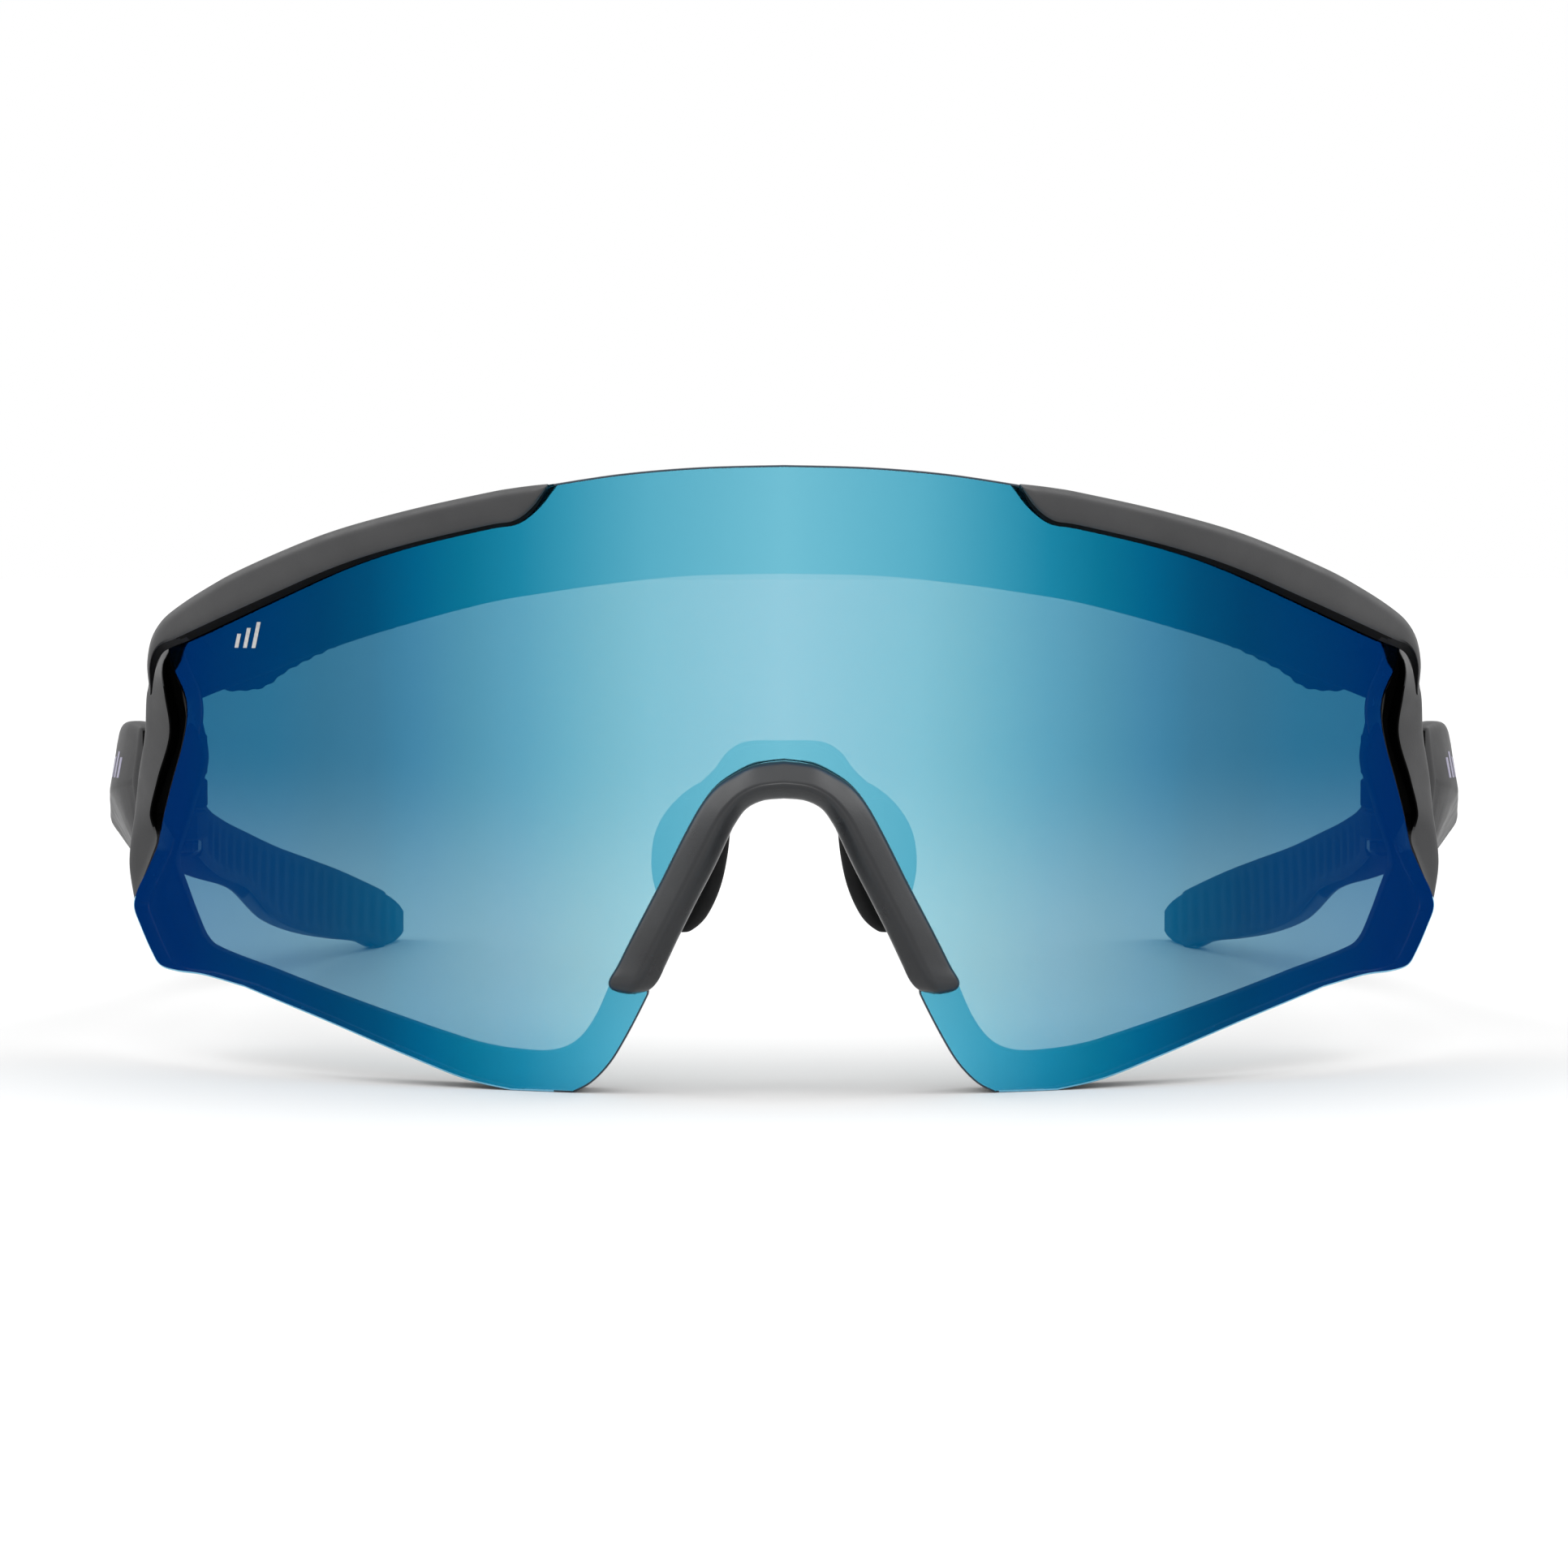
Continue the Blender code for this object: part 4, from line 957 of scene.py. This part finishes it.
def grip_section(y, layered):
    """The soft layer at a Y. Its inner face is ribbed between smooth margins."""
    inner, outer, top, crease, low = temple_at(y)
    corners = temple_corners(y, outer=inner + GRIP_THICKNESS if layered else None)
    ring = rounded_ring(corners, [min(r, 0.45) for r in TEMPLE_RADII])
    middle = (top + low) / 2
    half = (top - low) / 2
    face = []
    for k in range(13):
        z = low + 0.7 + (top - low - 1.4) * k / 12
        margin = ease(half - abs(z - middle), 0.9, 1.7)
        ends = ease(y, GRIP_START + 2, GRIP_START + 4) * ease(y, GRIP_END - 4, GRIP_END - 6)
        place_in_rib = ((y - 0.12 * (z - middle)) / GRIP_RIB_PITCH) % 1.0
        groove = ease(abs(place_in_rib - 0.5), 0.32, 0.22)
        face.append(Vector((inner + GRIP_RIB_DEPTH * margin * ends * groove, y, z)))
    return face + ring[5:-1]


def make_grip(side, tag):
    """A ribbed rubber layer on the arm's inner face that also forms the whole tip."""
    sections = [grip_section(y, True) for y in spaced(GRIP_START, TEMPLE_END, 0.375)]
    sections += [grip_section(y, False) for y in spaced(TEMPLE_END + GAP, GRIP_END - 1.5, 0.5)]
    last, before = sections[-1], sections[-2]
    end = [p + (centre(last) - centre(before)).normalized() * 1.5 for p in last]
    sections += rounded_end(end, last, 1.4)
    grip = mesh_object("temple_grip_" + tag + "_fine", loft(sections), side)
    finish_piece(grip, tag + "_temple", [RUBBER_AND_SHADE], "temple_grip_" + tag, sharp=50)


def make_temple_mark(side, tag):
    """Three small strokes on the temple's outer face, in place of any badge."""
    shells = []
    for bar in slanted_bars(heights=(2.2, 2.8, 2.2), x=47.9, z=28.7, width=0.4, pitch=0.85,
                            slope=0.0):
        corners = []
        for y, z in bar:
            outline = temple_corners(y, inner=CAP_INNER)
            (shoulder, _, high), (outer, _, crease) = outline[4], outline[5]
            corners.append(Vector((shoulder + (outer - shoulder) * (high - z) / (high - crease), y, z)))
        shells.append(loft([[p + Vector((out, 0, 0)) for p in corners] for out in (-0.05, 0.05)]))
    finish_piece(mesh_object("temple_mark_" + tag, merge(shells), side), tag + "_temple", [DARK_INK])


# -------- hinge hardware
ROUND = 48                 # points round each turned part
SOCKET_RADIUS = 0.8        # of the hexagon in the screw's head


def ring_at(radius, z, hexagon=False):
    """A ring about the hinge axis; a hexagon's radius is measured to its flats."""
    ring = []
    for k in range(ROUND):
        angle = 2 * math.pi * k / ROUND
        reach = radius
        if hexagon:
            reach = radius / math.cos((angle + math.pi / 6) % (math.pi / 3) - math.pi / 6)
        ring.append(Vector((HINGE_X + reach * math.cos(angle), HINGE_Y + reach * math.sin(angle), z)))
    return ring


def make_hinge(side, tag):
    """Screw, nut and bush, each given as radius, height and whether the ring is a hexagon."""
    head_low = LUG_HIGH[1] + GAP
    head_high = head_low + HEAD_HEIGHT
    nut_high = LUG_LOW[0] - GAP
    nut_low = nut_high - NUT_HEIGHT
    screw = [(SCREW_RADIUS * 0.8, nut_low), (SCREW_RADIUS, nut_low + 0.2),
             (SCREW_RADIUS, head_low), (HEAD_RADIUS - 0.1, head_low),
             (HEAD_RADIUS, head_low + 0.1), (HEAD_RADIUS, head_low + 0.45),
             (HEAD_RADIUS * 0.93, head_low + 0.66), (HEAD_RADIUS * 0.8, head_high - 0.08),
             (HEAD_RADIUS * 0.66, head_high), (SOCKET_RADIUS + 0.05, head_high, True),
             (SOCKET_RADIUS, head_high - 0.07, True), (SOCKET_RADIUS, head_high - 0.65, True)]
    flat = NUT_RADIUS * math.cos(math.pi / 6)
    nut = [(SCREW_HOLE, nut_low), (flat * 0.96, nut_low), (flat, nut_low + 0.18, True),
           (flat, nut_high - 0.18, True), (flat * 0.96, nut_high), (SCREW_HOLE, nut_high)]
    low, high = LUG_MIDDLE
    bush = [(SCREW_HOLE + 0.05, low), (BUSH_RADIUS - 0.12, low), (BUSH_RADIUS, low + 0.12),
            (BUSH_RADIUS, high - 0.12), (BUSH_RADIUS - 0.12, high), (SCREW_HOLE + 0.05, high),
            (SCREW_HOLE, high - 0.05), (SCREW_HOLE, low + 0.05)]
    pieces = [("hinge_screw_", screw, False, "front"), ("hinge_nut_", nut, True, "front"),
              ("hinge_bush_", bush, True, tag + "_temple")]
    for name, profile, closed, body in pieces:
        rings = [ring_at(*level) for level in profile]
        part = mesh_object(name + tag + "_fine", loft(rings, closed), side)
        finish_piece(part, body, [STEEL], name + tag)


# -------- floor, light and camera
FLOOR_HALF = 20.0          # metres from the middle of the floor to its edges


def make_stage():
    half = FLOOR_HALF
    mesh = bpy.data.meshes.new("floor")
    mesh.from_pydata([(-half, -half, 0), (half, -half, 0), (half, half, 0), (-half, half, 0)], [],
                     [(0, 1, 2, 3)])
    floor = new_object("floor", mesh)
    material, tree, shader = new_material("floor_paper")
    mottle(tree, shader, 3, 2, (0.59, 0.59, 0.59), (0.605, 0.605, 0.605))
    shader.inputs["Roughness"].default_value = 0.9
    shader.inputs["Specular IOR Level"].default_value = 0.2
    mesh.materials.append(material)


def add_sun(name, strength, angle, azimuth, elevation):
    """A wide soft light. Azimuth 0 comes from the front and 90 from +X, in degrees."""
    data = bpy.data.lights.new(name, "SUN")
    data.energy = strength
    data.angle = math.radians(angle)
    sun = new_object(name, data)
    a, e = math.radians(azimuth), math.radians(elevation)
    toward = Vector((math.sin(a) * math.cos(e), -math.cos(a) * math.cos(e), math.sin(e)))
    sun.rotation_euler = toward.to_track_quat("Z", "Y").to_euler()


def make_light():
    world = bpy.data.worlds.new("studio")
    world.use_nodes = True
    world.node_tree.nodes["Background"].inputs["Color"].default_value = (1, 1, 1, 1)
    world.node_tree.nodes["Background"].inputs["Strength"].default_value = 1.0
    bpy.context.scene.world = world
    add_sun("top", strength=1.3, angle=80, azimuth=0, elevation=80)
    add_sun("front", strength=0.5, angle=14, azimuth=0, elevation=3)
    for name, azimuth in (("side_left", 92), ("side_right", -92)):
        add_sun(name, strength=1.4, angle=50, azimuth=azimuth, elevation=40)
    bpy.context.scene.view_settings.view_transform = "Standard"


CAMERA_DISTANCE = 0.372    # from the lens's front, in metres
CAMERA_HEIGHT = 0.051
CAMERA_PITCH = 3.13        # degrees below level


def make_camera():
    data = bpy.data.cameras.new("camera")
    data.lens = 90
    data.sensor_width = 36
    data.clip_start = 0.01
    camera = new_object("camera", data)
    camera.location = (0, LENS_FRONT * MM - CAMERA_DISTANCE, CAMERA_HEIGHT)
    camera.rotation_euler = (math.radians(90 - CAMERA_PITCH), 0, 0)
    bpy.context.scene.camera = camera


make_camera()
make_stage()
make_light()
make_lens()
make_lens_mark()
make_frame()
make_nose_clip()
make_nose_saddle()
for piece_side, piece_tag in ((1, "left"), (-1, "right")):
    make_brow_cover(piece_side, piece_tag)
    make_brow_pad(piece_side, piece_tag)
    make_nose_pad(piece_side, piece_tag)
    make_temple(piece_side, piece_tag)
    make_grip(piece_side, piece_tag)
    make_temple_mark(piece_side, piece_tag)
    make_hinge(piece_side, piece_tag)
